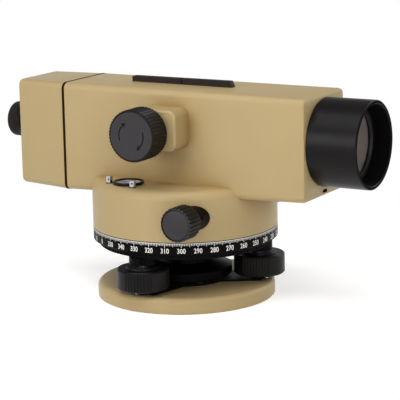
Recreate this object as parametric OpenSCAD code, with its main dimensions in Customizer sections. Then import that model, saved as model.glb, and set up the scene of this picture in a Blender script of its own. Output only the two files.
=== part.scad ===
/* [Base plate] */
// Radius of the round base plate
plate_r = 55; // [54:0.5:60]
// Thickness of the base plate
plate_t = 9.5; // [8.5:0.5:12]
// Rounding of the upper edge of the base plate
plate_edge_r = 3; // [2:0.1:3.5]
// Wall radius of the central tripod thread
tripod_hole_r = 6.8; // [6.6:0.05:7]
// Radius of the relief turned into the contact face round the thread
relief_r = 12; // [10:0.5:14]
// Depth of that relief
relief_depth = 1.2; // [0.6:0.2:2]

/* [Spring plate] */
// Thickness of the three-armed spring plate
spring_t = 1.2; // [0.8:0.2:1.6]
// Radius of its hub
spring_hub_r = 25; // [22:0.5:27]
// Radius of the hole in its middle
spring_hole_r = 9; // [8:0.5:12]
// Width of an arm where it grips a ball foot
spring_arm_w = 20; // [17:0.5:24]
// Radius on which its fixing screws stand
spring_screw_pitch_r = 19; // [16:0.5:21]
// Radius of the fixing screws
spring_screw_r = 1.5; // [1:0.1:2]
// Radius of their heads
spring_head_r = 2.8; // [2.3:0.1:3.4]
// Height of their heads
spring_head_t = 0.9; // [0.5:0.1:1]

/* [Footscrews] */
// Radius of the circle on which the footscrews stand
foot_pitch_r = 45.4; // [44.5:0.1:46]
// Bearing of the first footscrew, from -Y towards +X
foot_bearing = -5; // [-20:1:20]
// Number of footscrews
foot_count = 3; // [3]
// Radius of the ball foot
ball_r = 5.8; // [5:0.1:6.2]
// Height of the ball's centre
ball_z = 7.2; // [6.8:0.1:7.6]
// Radius of the screw
foot_screw_r = 4; // [3.5:0.1:4.2]
// Height of the top of the screw
foot_screw_top = 32; // [31:0.1:32.2]
// Radius of the knob
foot_knob_r = 15.8; // [14.5:0.1:16]
// Height of the underside of the knob
foot_knob_z = 12.8; // [12.6:0.1:13.4]
// Height of the knob's rim
foot_knob_h = 12.6; // [10:0.1:12.8]
// Radius of the raised hub on the knob
foot_hub_r = 10.5; // [8:0.5:12]
// Height of that hub
foot_hub_h = 1.1; // [0.6:0.1:1.2]
// Radius of the hollow under the knob
foot_hollow_r = 12.5; // [11:0.5:13.5]
// Depth of that hollow
foot_hollow_h = 5; // [3:0.5:7]
// Number of grip panels with ribs
grip_panels = 3; // [2:1:4]
// Grooves in each ribbed panel
grip_grooves = 9; // [5:1:10]
// Angle from one groove to the next
grip_step = 7; // [6:0.5:8]
// Radius of a groove
grip_groove_r = 0.55; // [0.4:0.05:0.65]

/* [Tribrach] */
// Radius of the upper disc
head_disc_r = 49.8; // [49:0.1:50]
// Height of the underside of the disc
head_disc_z = 33.6; // [33.2:0.1:34]
// Thickness of the disc
head_disc_t = 3.2; // [2.6:0.1:3.4]
// Radius of the screw bosses
boss_r = 8.25; // [7.5:0.05:8.5]
// Height of the underside of the bosses
boss_z = 27.5; // [27.2:0.1:28.5]
// Width of the slit in a boss
boss_slit_w = 2.8; // [2:0.1:3.4]
// Turn of the slit from the radial direction
boss_slit_turn = 35; // [0:5:60]
// Wall of the bush in a boss
foot_bush_wall = 2; // [1.5:0.1:2.4]
// Radius of the lower hub
hub_r = 28.5; // [26:0.5:29]
// Height of the underside of the hub
hub_z = 12.5; // [12.5:0.1:13.5]
// Height at which the hub starts to slope
hub_shoulder_z = 18; // [16:0.5:19]
// Height at which the slope meets the stem
hub_slope_z = 21.6; // [20:0.2:24]
// Radius of the stem above the slope
stem_r = 17; // [16.4:0.1:18]
// Radius of the hollow under the hub
hub_hollow_r = 14; // [12.5:0.5:14.5]
// Radius of the collar that the graduated ring turns on
collar_r = 24; // [22:0.5:26]
// Radius of the shoulder under the worm wheel
shoulder_r = 16.4; // [16:0.1:16.8]
// Radius of the stub that the worm wheel turns on
stub_r = 14; // [13.5:0.1:14.5]
// Wall of the axis bush
axis_bush_wall = 3; // [2.5:0.1:3.4]

/* [Graduated ring] */
// Radius of the graduated band
ring_r = 57; // [56:0.5:58]
// Height of the top of the ring
ring_top = 44.13; // [44:0.01:44.3]
// Height of the graduated band
band_h = 7.4; // [6.6:0.1:7.6]
// Height of the knurled skirt under the band
skirt_h = 3.7; // [3.2:0.1:3.8]
// Radius over the ribs of the skirt
skirt_r = 53.4; // [52.8:0.1:54.4]
// Wall of the skirt without its ribs
skirt_wall = 2.2; // [1.6:0.1:2.3]
// Depth of the ribs
skirt_rib = 0.6; // [0.3:0.05:0.7]
// Number of ribs
skirt_ribs = 120; // [90:10:180]
// Thickness of the ring's web
ring_web = 2.1; // [1.6:0.1:2.6]
// Wall of the ring's own hub
ring_hub_wall = 3; // [2:0.5:4]
// Thickness of the friction washer under the ring
washer_t = 1.4; // [1:0.1:1.5]

/* [Drum] */
// Radius of the drum
drum_r = 57; // [56:0.5:58]
// Gap between ring and drum
drum_gap = 0.3; // [0.3:0.05:0.4]
// Height of the shoulder of the drum
shoulder_z = 74.4; // [74:0.1:75]
// Rounding of the shoulder
shoulder_round = 5.5; // [4:0.5:6.5]
// Wall of the drum
drum_wall = 4; // [3:0.5:5]
// Thickness of the casting between the drum's hollow and its shoulder
deck_t = 8.9; // [7.9:0.1:9.1]
// Radius of the hole in the drum's bottom cover
cover_hole_r = 18.5; // [17.5:0.5:20]
// Thickness of the bottom cover
cover_t = 2; // [1.5:0.1:2.5]
// Radius on which the cover's screws stand
cover_screw_pitch_r = 46; // [44:0.5:47]
// Length of those screws
cover_screw_l = 10; // [8:0.5:11]
// Radius of their heads
cover_head_r = 2.6; // [2.2:0.1:3]
// Height of their heads
cover_head_h = 0.35; // [0.25:0.05:0.4]
// Number of those screws, all clear of the worm
cover_screws = 3; // [3]
// Radius of the small screws throughout
small_screw_r = 1.5; // [1.2:0.1:1.6]
// Radius of the posts that take the cover's screws
post_r = 4; // [3:0.5:4.5]

/* [Vertical axis] */
// Radius of the spindle
spindle_r = 9; // [8.5:0.1:9.5]
// Radius of the spindle's flange
spindle_flange_r = 15.5; // [14:0.5:16.5]
// Thickness of that flange
spindle_flange_t = 2.2; // [1.8:0.1:2.4]
// Height of the lower end of the bush
axis_bush_z = 20; // [19:0.5:22]
// Radius of the thread under the spindle
spindle_thread_r = 6.5; // [5:0.5:7.5]
// Thickness of the retaining nut
nut_t = 3.1; // [2.5:0.1:3.5]
// Radius of the nut
nut_r = 11.5; // [10.5:0.5:12]

/* [Telescope body] */
// Rear end of the rear housing
rear_x = -107.35; // [-110:0.05:-104]
// Plane of the seam between the two housings
seam_x = -70.4; // [-72:0.1:-68]
// Front face of the body
front_x = 95.7; // [93:0.1:98]
// Height of the roof at the seam
roof_z = 130.8; // [130:0.1:131.5]
// Fall of the roof towards the front
roof_fall = 0.7; // [0:0.1:1.2]
// Height of the underside at the seam
belly_z = 63.7; // [63:0.1:64.5]
// Rise of the underside towards the front
belly_rise = 5.4; // [4:0.1:6]
// Rise of the underside towards the rear
belly_rear_rise = 1; // [0:0.1:2]
// Half width at the rear end
half_w_rear = 21.55; // [20.5:0.05:23]
// Half width at the seam
half_w_seam = 25.5; // [25:0.1:26.5]
// Half width at the front
half_w_front = 27.1; // [26.5:0.1:28]
// Rounding of the long edges
edge_r = 4; // [3:0.5:5]
// Rounding of the edges of the end faces
end_r = 2; // [1:0.5:3]
// Wall of the housings
wall = 3; // [2.5:0.1:3.5]
// Height of the floor inside the body
floor_z = 70; // [69:0.5:71]
// Thickness of the front wall
front_wall = 5; // [4:0.5:6]
// Thickness of the gasket in the seam
gasket_t = 0.8; // [0.6:0.1:1.2]
// How far the gasket lies back from the outer faces
gasket_inset = 0.5; // [0.3:0.1:0.8]
// Height of the optical axis
axis_z = 101.67; // [101:0.01:102.5]
// Distance of the corner pillars from the middle plane
pillar_y = 16; // [14:0.5:17]
// Height of the lower pillars over the belly
pillar_up = 8.5; // [8:0.5:10]
// Depth of the upper pillars under the roof
pillar_down = 6.5; // [5.5:0.5:6.5]
// Radius of the corner pillars
pillar_r = 4; // [3.5:0.5:4.5]
// Length of the corner pillars in the front housing
pillar_l = 14; // [10:1:18]

/* [Open sight] */
// Rear end of the sight
sight_rear_x = -34.5; // [-38:0.5:-30]
// Front end of the sight
sight_front_x = 35.3; // [30:0.1:38]
// Gap between the two bars
sight_gap = 0.8; // [0.5:0.1:1.5]
// Place of that gap
sight_gap_x = 0.5; // [-5:0.5:5]
// Width of the bars
sight_w = 4.4; // [3:0.1:6]
// Height of the bars over the roof
sight_h = 3.7; // [3:0.1:4.5]
// Depth of the seat in the roof
sight_seat = 1; // [0.5:0.1:1.5]
// Length of the slope at the front end
sight_slope = 1.6; // [1:0.2:3]

/* [Objective] */
// Radius of the objective hood
hood_r = 26.35; // [25.5:0.05:27]
// Front end of the hood
hood_x = 127.6; // [124:0.1:129]
// Inner radius of the hood's mouth
hood_bore_r = 23.8; // [23.5:0.1:24.3]
// Depth of the hood's mouth in front of the lens
hood_mouth = 10.4; // [7:0.1:12]
// Radius of the spigot in the front wall
spigot_r = 24.5; // [24:0.1:25]
// Width of the dark groove at the root of the hood
root_groove_w = 0.8; // [0.5:0.1:1.2]
// Depth of that groove
root_groove_d = 0.8; // [0.4:0.1:1]
// Outer radius of the lens cell
cell_r = 23; // [22.9:0.1:23.3]
// Wall of the lens cell round the lenses
cell_wall = 1.4; // [1:0.1:1.6]
// Length of the lens cell
cell_l = 26; // [22:0.5:28]
// Inner radius of the retaining ring
lens_clear_r = 20; // [19:0.1:20.4]
// Thickness of the retaining ring
lens_ring_t = 1.6; // [1.2:0.1:2]
// Sphere radius of the front of the crown lens
crown_front_r = 95; // [80:5:120]
// Sphere radius of the cemented faces
cement_r = 80; // [70:5:110]
// Sphere radius of the rear of the flint lens
flint_rear_r = 240; // [200:10:300]
// Thickness of the crown lens in the middle
crown_t = 7; // [6.5:0.1:8]
// Thickness of the flint lens in the middle
flint_t = 3; // [2.5:0.1:3.5]

/* [Focusing] */
// Place of the pinion axis along the body
pinion_x = -0.3; // [-3:0.1:3]
// Height of the pinion axis
pinion_z = 107.7; // [107:0.1:108.4]
// Tooth size of rack and pinion, pitch diameter over teeth
gear_module = 0.5; // [0.4:0.05:0.5]
// Teeth of the pinion
pinion_teeth = 16; // [14:1:18]
// Width of the rack
rack_w = 2.6; // [2:0.1:2.8]
// Radius of the pinion shaft
pinion_shaft_r = 3; // [2.5:0.1:3.3]
// Outer radius of the pinion's bush
pinion_bush_r = 6; // [5:0.5:7]
// Left end of the casting's boss
boss_x0 = -8; // [-12:0.5:-7.5]
// Right end of the casting's boss
boss_x1 = 18.9; // [16:0.1:20]
// Underside of the boss
boss_z0 = 96.6; // [95:0.1:98]
// Top of the boss
boss_z1 = 121; // [118:0.5:123]
// Front of the boss, from the middle plane
boss_y = 42.7; // [40:0.1:43.5]
// Rounding of the boss's corners
boss_round = 5; // [3:0.5:6]
// Radius of the focusing knob
focus_knob_r = 15.65; // [14.5:0.05:17]
// Length of the focusing knob
focus_knob_l = 16; // [14:0.5:18]
// Gap between boss and knob
focus_knob_gap = 1.8; // [1:0.1:2.5]
// Depth of the knurl
knurl_depth = 0.5; // [0.3:0.05:0.6]
// Number of knurl teeth on the focusing knob
focus_knurl = 48; // [40:2:60]
// Radius of the arrows engraved in the knob's face
arrow_r = 8.3; // [7:0.1:10]
// Depth of the engraving
arrow_depth = 0.4; // [0.2:0.05:0.6]
// Width of the engraved lines
arrow_w = 0.7; // [0.5:0.1:1]
// Inner radius of the focusing tube
focus_tube_r = 16.6; // [16:0.1:16.8]
// Wall of the focusing tube
focus_tube_wall = 2; // [1.6:0.1:2.2]
// Rear end of the focusing tube
focus_tube_x0 = -27; // [-29:0.5:-26]
// Front end of the focusing tube
focus_tube_x1 = 46; // [40:1:52]
// Length of the sliding cell
focus_cell_l = 20; // [16:1:24]
// Half of the focusing travel
focus_travel = 12; // [10:0.5:12.5]
// Radius of the focusing lens
focus_lens_r = 13.5; // [12:0.5:14]
// Thickness of the focusing lens at its edge
focus_lens_t = 4; // [3.5:0.5:5]
// Radius of its two hollow faces
focus_face_r = 95; // [90:5:120]

/* [Compensator] */
// Place of the compensator along the body
comp_x = -44; // [-45:0.5:-43]
// Height of the pendulum's axis
pendulum_axis_z = 118; // [116:0.5:119]
// Height of the top of the pendulum
pendulum_top = 112; // [110:0.5:113]
// Height of the underside of the pendulum's frame
pendulum_bottom = 86; // [85:0.5:88]
// Length of the pendulum's frame
pendulum_l = 16; // [14:0.5:17]
// Width of the pendulum's frame
pendulum_w = 24; // [20:1:26]
// Wall of the pendulum's frame
pendulum_wall = 2; // [1.5:0.25:2.5]
// Thickness of the damping vane
vane_t = 2; // [1.5:0.1:2.2]
// Height of the lower edge of the vane
vane_z = 76.5; // [76:0.5:78]
// Radius of a damping magnet
magnet_r = 4; // [3:0.5:4.5]
// Gap between vane and magnet
magnet_gap = 0.6; // [0.5:0.1:1]
// Length of a damping magnet
magnet_l = 8; // [6:0.5:9]
// Thickness of the frame's floor
comp_floor_t = 4; // [3:0.5:5]
// Length of the frame's floor
comp_floor_l = 20; // [18:1:22]
// Width of the frame's posts
comp_post_w = 3; // [2.5:0.5:4]
// Length of the frame's posts
comp_post_l = 8; // [6:0.5:9]
// Thickness of the frame's head bar
comp_head_t = 3; // [2:0.5:4]
// Height of both prisms
prism_h = 20; // [18:0.5:20]
// Width of the fixed prism
prism_w = 18; // [16:0.5:18]
// Thickness of the fixed prism at its foot
prism_t = 9; // [7.5:0.5:9]
// Distance of the posts from the middle plane
comp_post_y = 17; // [16:0.5:18]
// Radius of a suspension wire
wire_r = 0.25; // [0.2:0.05:0.4]

/* [Reticle] */
// Thickness of the reticle plate
reticle_plate_t = 2.4; // [2:0.1:3]
// Radius of the reticle glass
reticle_r = 6; // [5:0.5:8]
// Thickness of the reticle glass
reticle_t = 1.5; // [1:0.1:2]
// Distance of the reticle screws from the optical axis
reticle_screw_y = 10; // [9:0.5:12]

/* [Eyepiece] */
// Outer radius of the eyepiece tube
eye_tube_r = 9.5; // [9:0.1:10]
// Wall of the eyepiece tube
eye_tube_wall = 1.4; // [1.2:0.1:1.6]
// Radius of the flange on the rear face
eye_flange_r = 12.9; // [12:0.1:13.5]
// Thickness of that flange
eye_flange_t = 2.4; // [1.8:0.1:3]
// Length of the eyepiece tube inside the housing
eye_tube_in = 22; // [16:1:24]
// Length of the eyepiece tube outside the flange
eye_tube_out = 7.5; // [6:0.5:8]
// Radius over the knurl of the dioptre ring
dioptre_r = 11.2; // [10.9:0.1:12]
// Length of the dioptre ring
dioptre_l = 8; // [7:0.5:8.5]
// Number of teeth of its knurl
dioptre_knurl = 60; // [48:6:72]
// Radius of the eyecup
eyecup_r = 11; // [10.5:0.1:11.5]
// Length of the eyecup
eyecup_l = 7; // [6.5:0.5:8]
// Radius of the eyecup's opening
eyecup_bore_r = 6.5; // [5.5:0.1:7]
// Length of the eye lens cell
eye_cell_l = 8; // [6:0.5:9]
// Half of the travel of the eye lens
eye_travel = 2.5; // [1:0.1:2.5]
// Radius of the eye lens
eye_lens_r = 6; // [5:0.1:6.4]

/* [Circular level] */
// Place of the level along the body
level_x = -16.4; // [-18:0.1:-14]
// Distance of the level in front of the middle plane
level_y = 38.9; // [38.5:0.1:40]
// Radius of the level's bezel
level_r = 9.4; // [9:0.1:9.8]
// Width of the bezel
bezel_w = 1.6; // [1.2:0.1:2]
// Thickness of the level's flange
level_flange_t = 0.5; // [0.4:0.1:1]
// Height of the bezel over the flange
bezel_h = 1.2; // [0.8:0.1:1.5]
// Depth of the cup under the shoulder
cup_depth = 6; // [5:0.5:7]
// Wall of the cup
cup_wall = 1; // [0.8:0.1:1.2]
// Distance of the adjusting screws from the level's centre
level_screw_pitch_r = 12.2; // [12:0.1:12.6]
// Radius of an adjusting screw's head
level_head_r = 2; // [1.7:0.1:2.2]
// Height of an adjusting screw's head
level_head_h = 3.7; // [3:0.1:4.5]
// Radius of the holes across the head
level_hole_r = 0.6; // [0.4:0.05:0.7]
// Radius of the ears on the flange
level_ear_r = 2.1; // [2:0.1:2.8]

/* [Tangent screw] */
// Distance of the worm from the vertical axis
worm_x = 32.6; // [31.8:0.1:33.4]
// Height of the worm
worm_z = 58.9; // [58.2:0.1:60.2]
// Radius over the worm's thread
worm_r = 2.75; // [2.5:0.05:3]
// Distance from one turn of the worm to the next
worm_pitch = 1.52; // [1.4:0.02:2]
// Depth of the worm's thread
worm_depth = 0.6; // [0.4:0.05:0.8]
// Length of the threaded stretch
worm_l = 20; // [14:1:24]
// Radius of the worm's shaft
worm_shaft_r = 3; // [2.5:0.1:3.3]
// Radius of the shaft's collars
worm_collar_r = 4.6; // [4:0.1:5]
// Width of a collar
worm_collar_w = 2; // [1.5:0.1:2.5]
// Radius of the bush that stands out of the drum
worm_bush_r = 7.6; // [7:0.1:8]
// Outer end of that bush, from the middle plane
worm_bush_y = 54.4; // [53:0.1:57]
// Inner end of that bush, from the middle plane
worm_bush_y0 = 36; // [34:0.5:37]
// Place of the pin hole in that bush, from the middle plane
pin_hole_y = 49.2; // [48.5:0.1:50]
// Direction of the pin hole, down from the vertical
pin_hole_angle = 78; // [60:1:90]
// Radius of a tangent knob
tangent_r = 10.2; // [9.6:0.1:10.6]
// Length of a tangent knob
tangent_l = 13; // [11:0.5:14]
// Number of flutes
tangent_flutes = 26; // [20:2:30]
// Radius of a flute
flute_r = 0.75; // [0.5:0.05:0.9]
// Radius of the cap in the knob's face
cap_r = 8.8; // [8.4:0.1:9]
// Width of the groove round the cap
cap_groove = 0.4; // [0.3:0.05:0.5]
// Rise of the cap's dome
cap_rise = 1.2; // [0.8:0.1:1.6]
// Teeth of the worm wheel
wheel_teeth = 120; // [90:10:120]
// Depth of a tooth
wheel_tooth = 0.9; // [0.6:0.1:1]
// Width of the wheel
wheel_w = 4.6; // [4:0.1:4.8]
// Thickness of the clutch spring
clutch_t = 1.5; // [1:0.1:1.6]

/* [Front stop] */
// Width of the oblong plug on the front face
plug_w = 6; // [4:0.5:7]
// Height of that plug
plug_h = 2; // [1.5:0.1:2.4]
// Height of its centre over the belly
plug_up = 3.1; // [2.8:0.1:4]

/* [Clearances] */
// Radial clearance of a turning or sliding fit
run_gap = 0.05; // [0.03:0.01:0.08]
// Radial clearance round a fixed piece
fit_gap = 0.03; // [0.02:0.01:0.06]
// Gap between faces that turn past each other
face_gap = 0.3; // [0.3:0.05:0.4]
// Backlash of the rack and pinion
backlash = 0.3; // [0.25:0.05:0.4]

/* [Hidden] */

tan_paint = "#bfa67c";
black = "#2b2829";
dark_grey = "#3f3c40";
steel = "#b9bbbe";
bronze = "#a97f45";
brass = "#c2a14d";
clear_glass = "#cfe0e4";

cut = 1;
shell_fn = 32;
corner_steps = 8;
round_fn = 96;

drum_z = ring_top + drum_gap;
head_disc_top = head_disc_z + head_disc_t;
skirt_z = ring_top - band_h - skirt_h;
band_z = ring_top - band_h;
ring_bore_r = collar_r + run_gap;
ring_hub_z = head_disc_top + washer_t + face_gap;
collar_top = ring_top - face_gap;
foot_bush_r = foot_screw_r + run_gap + foot_bush_wall;
foot_bush_top = skirt_z - face_gap - 0.1;
axis_bush_r = spindle_r + run_gap + axis_bush_wall;
drum_ceiling = shoulder_z - deck_t;
spindle_flange_z = drum_ceiling - spindle_flange_t;
stub_top = spindle_flange_z - face_gap;
wheel_r = worm_x - worm_r - face_gap;
wheel_z0 = worm_z - wheel_w / 2;
clutch_z0 = wheel_z0 - clutch_t - 0.1;
cover_z = drum_z + 0.5;
cover_r = drum_r - drum_wall - 0.2;
body_l = front_x - seam_x;
rear_front_x = seam_x - gasket_t;
pitch_r = gear_module * pinion_teeth / 2;
rack_pitch = PI * gear_module;
rack_z = pinion_z - pitch_r;
rack_h = 3.6;
rack_y1 = focus_tube_r + focus_tube_wall + 1;
rack_y0 = rack_y1 + rack_w;
inner_half_w = half_w_seam - wall;
inner_r = edge_r - wall / 2;
focus_back_y = boss_y + focus_knob_gap;
lens_seat_x = hood_x - hood_mouth;
lens_vertex_x = lens_seat_x - lens_ring_t + 0.6;
level_top = shoulder_z + level_flange_t;
level_bearings = [-77, 43];
pillar_z = [belly_z + pillar_up, roof_z - pillar_down];
tangent_back_y = worm_bush_y + 0.4;
eye_flange_x = rear_x - eye_flange_t;
dioptre_x1 = eye_flange_x - face_gap;
dioptre_x0 = dioptre_x1 - dioptre_l;
eye_cell_x1 = dioptre_x1 + 2;

function bearing_xy(angle, r) = [r * sin(angle), -r * cos(angle)];
function foot_angle(i) = foot_bearing + i * 360 / foot_count;
function at_length(x, a, b) = a + (b - a) * (x - seam_x) / body_l;
function zigzag(n, r_low, r_high) = [for (i = [0 : 2 * n - 1])
    let (r = i % 2 == 0 ? r_high : r_low, t = i * 180 / n) [r * cos(t), r * sin(t)]];
function arc(r, from, to, steps) = [for (i = [0 : steps])
    let (t = from + (to - from) * i / steps) [r * cos(t), r * sin(t)]];

// Teeth of trapezoid shape round a circle, each with a narrow tip and a wide root
function gear_outline(n, r_root, r_tip, half_root, half_tip) = [for (i = [0 : n - 1], s = [0 : 3])
    let (t = i * 360 / n,
        r = s == 0 || s == 3 ? r_root : r_tip,
        turn = [-half_root, -half_tip, half_tip, half_root][s] / r * 180 / PI)
    [r * cos(t + turn), r * sin(t + turn)]];

module at_bearing(angle, r, z) {
    translate([bearing_xy(angle, r)[0], bearing_xy(angle, r)[1], z]) children();
}

// Turns a shape built along Z so that it lies along X
module along_x(x, y = 0, z = axis_z) {
    translate([x, y, z]) rotate([0, 90, 0]) children();
}

// Turns a shape built along Z so that it points to the side of the knobs
module along_minus_y(x, y, z) {
    translate([x, -y, z]) rotate([90, 0, 0]) children();
}

module both_sides() {
    children();
    mirror([0, 1, 0]) children();
}

module tube(r_out, r_in, h) {
    difference() {
        cylinder(r = r_out, h = h, $fn = round_fn);
        translate([0, 0, -cut]) cylinder(r = r_in, h = h + 2 * cut, $fn = round_fn);
    }
}

// Upright outline of the body at x, with rounded corners, as a closed ring of points
function ring(x, half_w, z0, z1, r) = [for (c = [0 : 3], i = [0 : corner_steps])
    let (t = (c - 1) * 90 + i * 90 / corner_steps,
        y = c < 2 ? half_w - r : r - half_w,
        z = c == 1 || c == 2 ? z1 - r : z0 + r)
    [x, y + r * cos(t), z + r * sin(t)]];

// Solid through a row of rings that run towards +X
module loft(rings) {
    n = len(rings[0]);
    last = len(rings) - 1;
    polyhedron(points = [for (r = rings, p = r) p], faces = concat(
        [[for (i = [0 : n - 1]) i], [for (i = [n - 1 : -1 : 0]) last * n + i]],
        [for (k = [0 : last - 1], i = [0 : n - 1])
            [k * n + i, (k + 1) * n + i, (k + 1) * n + (i + 1) % n, k * n + (i + 1) % n]]));
}

function inset_r(inset) = max(edge_r - inset, 1);

function front_ring(x, inset) = ring(x, at_length(x, half_w_seam, half_w_front) - inset,
    at_length(x, belly_z, belly_z + belly_rise) + inset,
    at_length(x, roof_z, roof_z - roof_fall) - inset, inset_r(inset));

function rear_ring(x, inset) = let (share = (rear_front_x - x) / (rear_front_x - rear_x))
    ring(x, half_w_seam + (half_w_rear - half_w_seam) * share - inset,
        belly_z + belly_rear_rise * share + inset, roof_z - inset, inset_r(inset));

module base_plate() {
    color(tan_paint) difference() {
        rotate_extrude($fn = round_fn) polygon(concat(
            [[0, 0], [plate_r - 0.6, 0], [plate_r, 0.6]],
            [for (p = arc(plate_edge_r, 0, 90, 8))
                [plate_r - plate_edge_r + p[0], plate_t - plate_edge_r + p[1]]],
            [[0, plate_t]]));
        translate([0, 0, -cut]) cylinder(r = tripod_hole_r, h = plate_t + 2 * cut, $fn = round_fn);
        translate([0, 0, plate_t - relief_depth]) cylinder(r = relief_r, h = relief_depth + cut, $fn = round_fn);
        for (i = [0 : foot_count - 1]) at_bearing(foot_angle(i), foot_pitch_r, ball_z) {
            sphere(r = ball_r + run_gap, $fn = round_fn);
            cylinder(r = ball_r + run_gap, h = plate_t, $fn = round_fn);
        }
        for (i = [0 : foot_count - 1])
            at_bearing(foot_angle(i) + 180 / foot_count, spring_screw_pitch_r, plate_t / 2)
                cylinder(r = spring_screw_r + fit_gap, h = plate_t, $fn = round_fn);
    }
}

// Flat three-armed leaf: each arm forks round a ball foot and holds it down
module spring_plate() {
    slot_r = ball_r - 0.35;
    color(black) translate([0, 0, plate_t]) difference() {
        linear_extrude(spring_t) {
            circle(r = spring_hub_r, $fn = round_fn);
            for (i = [0 : foot_count - 1]) rotate(foot_angle(i))
                polygon([[-spring_arm_w * 0.75, 0], [-spring_arm_w / 2, -foot_pitch_r - 2],
                    [spring_arm_w / 2, -foot_pitch_r - 2], [spring_arm_w * 0.75, 0]]);
        }
        translate([0, 0, -cut]) cylinder(r = spring_hole_r, h = spring_t + 2 * cut, $fn = round_fn);
        for (i = [0 : foot_count - 1]) {
            at_bearing(foot_angle(i), foot_pitch_r, -cut)
                cylinder(r = slot_r, h = spring_t + 2 * cut, $fn = round_fn);
            rotate(foot_angle(i)) translate([-slot_r + 0.5, -foot_pitch_r - ball_r, -cut])
                cube([2 * slot_r - 1, ball_r, spring_t + 2 * cut]);
            at_bearing(foot_angle(i) + 180 / foot_count, spring_screw_pitch_r, -cut)
                cylinder(r = spring_screw_r + fit_gap, h = spring_t + 2 * cut, $fn = round_fn);
        }
    }
}

module spring_plate_screws() {
    color(steel) for (i = [0 : foot_count - 1])
        at_bearing(foot_angle(i) + 180 / foot_count, spring_screw_pitch_r, plate_t / 2 + 0.2)
            difference() {
                union() {
                    cylinder(r = spring_screw_r, h = plate_t / 2 + spring_t, $fn = round_fn);
                    translate([0, 0, plate_t / 2 + spring_t - 0.2])
                        cylinder(r = spring_head_r, h = spring_head_t - 0.1, $fn = round_fn);
                }
                translate([-spring_head_r, -0.35, plate_t / 2 + spring_t + spring_head_t - 0.8])
                    cube([2 * spring_head_r, 0.7, 1]);
            }
}

module foot_screw(i) {
    color(steel) at_bearing(foot_angle(i), foot_pitch_r, 0) {
        translate([0, 0, ball_z]) sphere(r = ball_r, $fn = round_fn);
        translate([0, 0, ball_z]) cylinder(r = foot_screw_r, h = foot_screw_top - ball_z - 0.6, $fn = round_fn);
        translate([0, 0, foot_screw_top - 0.6])
            cylinder(r1 = foot_screw_r, r2 = foot_screw_r - 0.6, h = 0.6, $fn = round_fn);
    }
}

// Round knob with smooth panels between panels of fine grooves
module foot_knob(i) {
    chamfer = 0.8;
    color(black) at_bearing(foot_angle(i), foot_pitch_r, foot_knob_z) rotate(foot_angle(i)) difference() {
        rotate_extrude($fn = round_fn) polygon([[foot_screw_r, foot_hollow_h], [foot_hollow_r, foot_hollow_h],
            [foot_hollow_r, 0], [foot_knob_r - chamfer, 0], [foot_knob_r, chamfer],
            [foot_knob_r, foot_knob_h - chamfer], [foot_knob_r - chamfer, foot_knob_h],
            [foot_hub_r, foot_knob_h], [foot_hub_r - 0.5, foot_knob_h + foot_hub_h],
            [foot_screw_r, foot_knob_h + foot_hub_h]]);
        for (p = [0 : grip_panels - 1], g = [0 : grip_grooves - 1])
            rotate(p * 360 / grip_panels - 65 + (g - (grip_grooves - 1) / 2) * grip_step)
                translate([foot_knob_r + 0.1, 0, -cut])
                    cylinder(r = grip_groove_r, h = foot_knob_h + 2 * cut, $fn = round_fn);
    }
}

// Upper disc with three hanging bosses, sloping lower hub, and the stem that carries ring, wheel and bush
module tribrach_head() {
    color(black) difference() {
        union() {
            rotate_extrude($fn = round_fn) polygon([[hub_hollow_r, hub_z], [hub_r - 0.8, hub_z], [hub_r, hub_z + 0.8],
                [hub_r, hub_shoulder_z], [stem_r, hub_slope_z], [stem_r, head_disc_z], [head_disc_r, head_disc_z],
                [head_disc_r, head_disc_top], [collar_r, head_disc_top], [collar_r, collar_top],
                [shoulder_r, collar_top], [shoulder_r, clutch_z0], [stub_r, clutch_z0], [stub_r, stub_top],
                [axis_bush_r, stub_top], [axis_bush_r, axis_bush_z], [hub_hollow_r, axis_bush_z]]);
            for (i = [0 : foot_count - 1]) at_bearing(foot_angle(i), foot_pitch_r, boss_z)
                cylinder(r = boss_r, h = foot_bush_top - boss_z, $fn = round_fn);
            intersection() {
                translate([0, 0, head_disc_z - 2]) cylinder(r = head_disc_r, h = 3, $fn = round_fn);
                for (i = [0 : foot_count - 1]) at_bearing(foot_angle(i), foot_pitch_r, boss_z)
                    cylinder(r = boss_r, h = head_disc_z - boss_z + 1, $fn = round_fn);
            }
        }
        for (i = [0 : foot_count - 1]) at_bearing(foot_angle(i), foot_pitch_r, 0) {
            translate([0, 0, boss_z - cut]) cylinder(r = foot_bush_r, h = foot_bush_top - boss_z + cut, $fn = round_fn);
            translate([0, 0, boss_z]) cylinder(r = foot_screw_r + 0.6, h = ring_top - boss_z, $fn = round_fn);
            rotate(foot_angle(i) + boss_slit_turn) translate([-boss_slit_w / 2, -boss_r - 1, boss_z - cut])
                cube([boss_slit_w, boss_r - foot_bush_r + 3, foot_bush_top - boss_z + cut]);
        }
    }
}

module foot_bushes() {
    color(brass) for (i = [0 : foot_count - 1]) at_bearing(foot_angle(i), foot_pitch_r, boss_z)
        tube(foot_bush_r, foot_screw_r + run_gap, foot_bush_top - boss_z);
}

module axis_bush() {
    color(bronze) translate([0, 0, axis_bush_z]) tube(axis_bush_r, spindle_r + run_gap, stub_top - axis_bush_z);
}

module ring_friction_washer() {
    color("#8a8172") translate([0, 0, head_disc_top]) tube(collar_r + ring_hub_wall, collar_r + fit_gap, washer_t);
}

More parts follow.
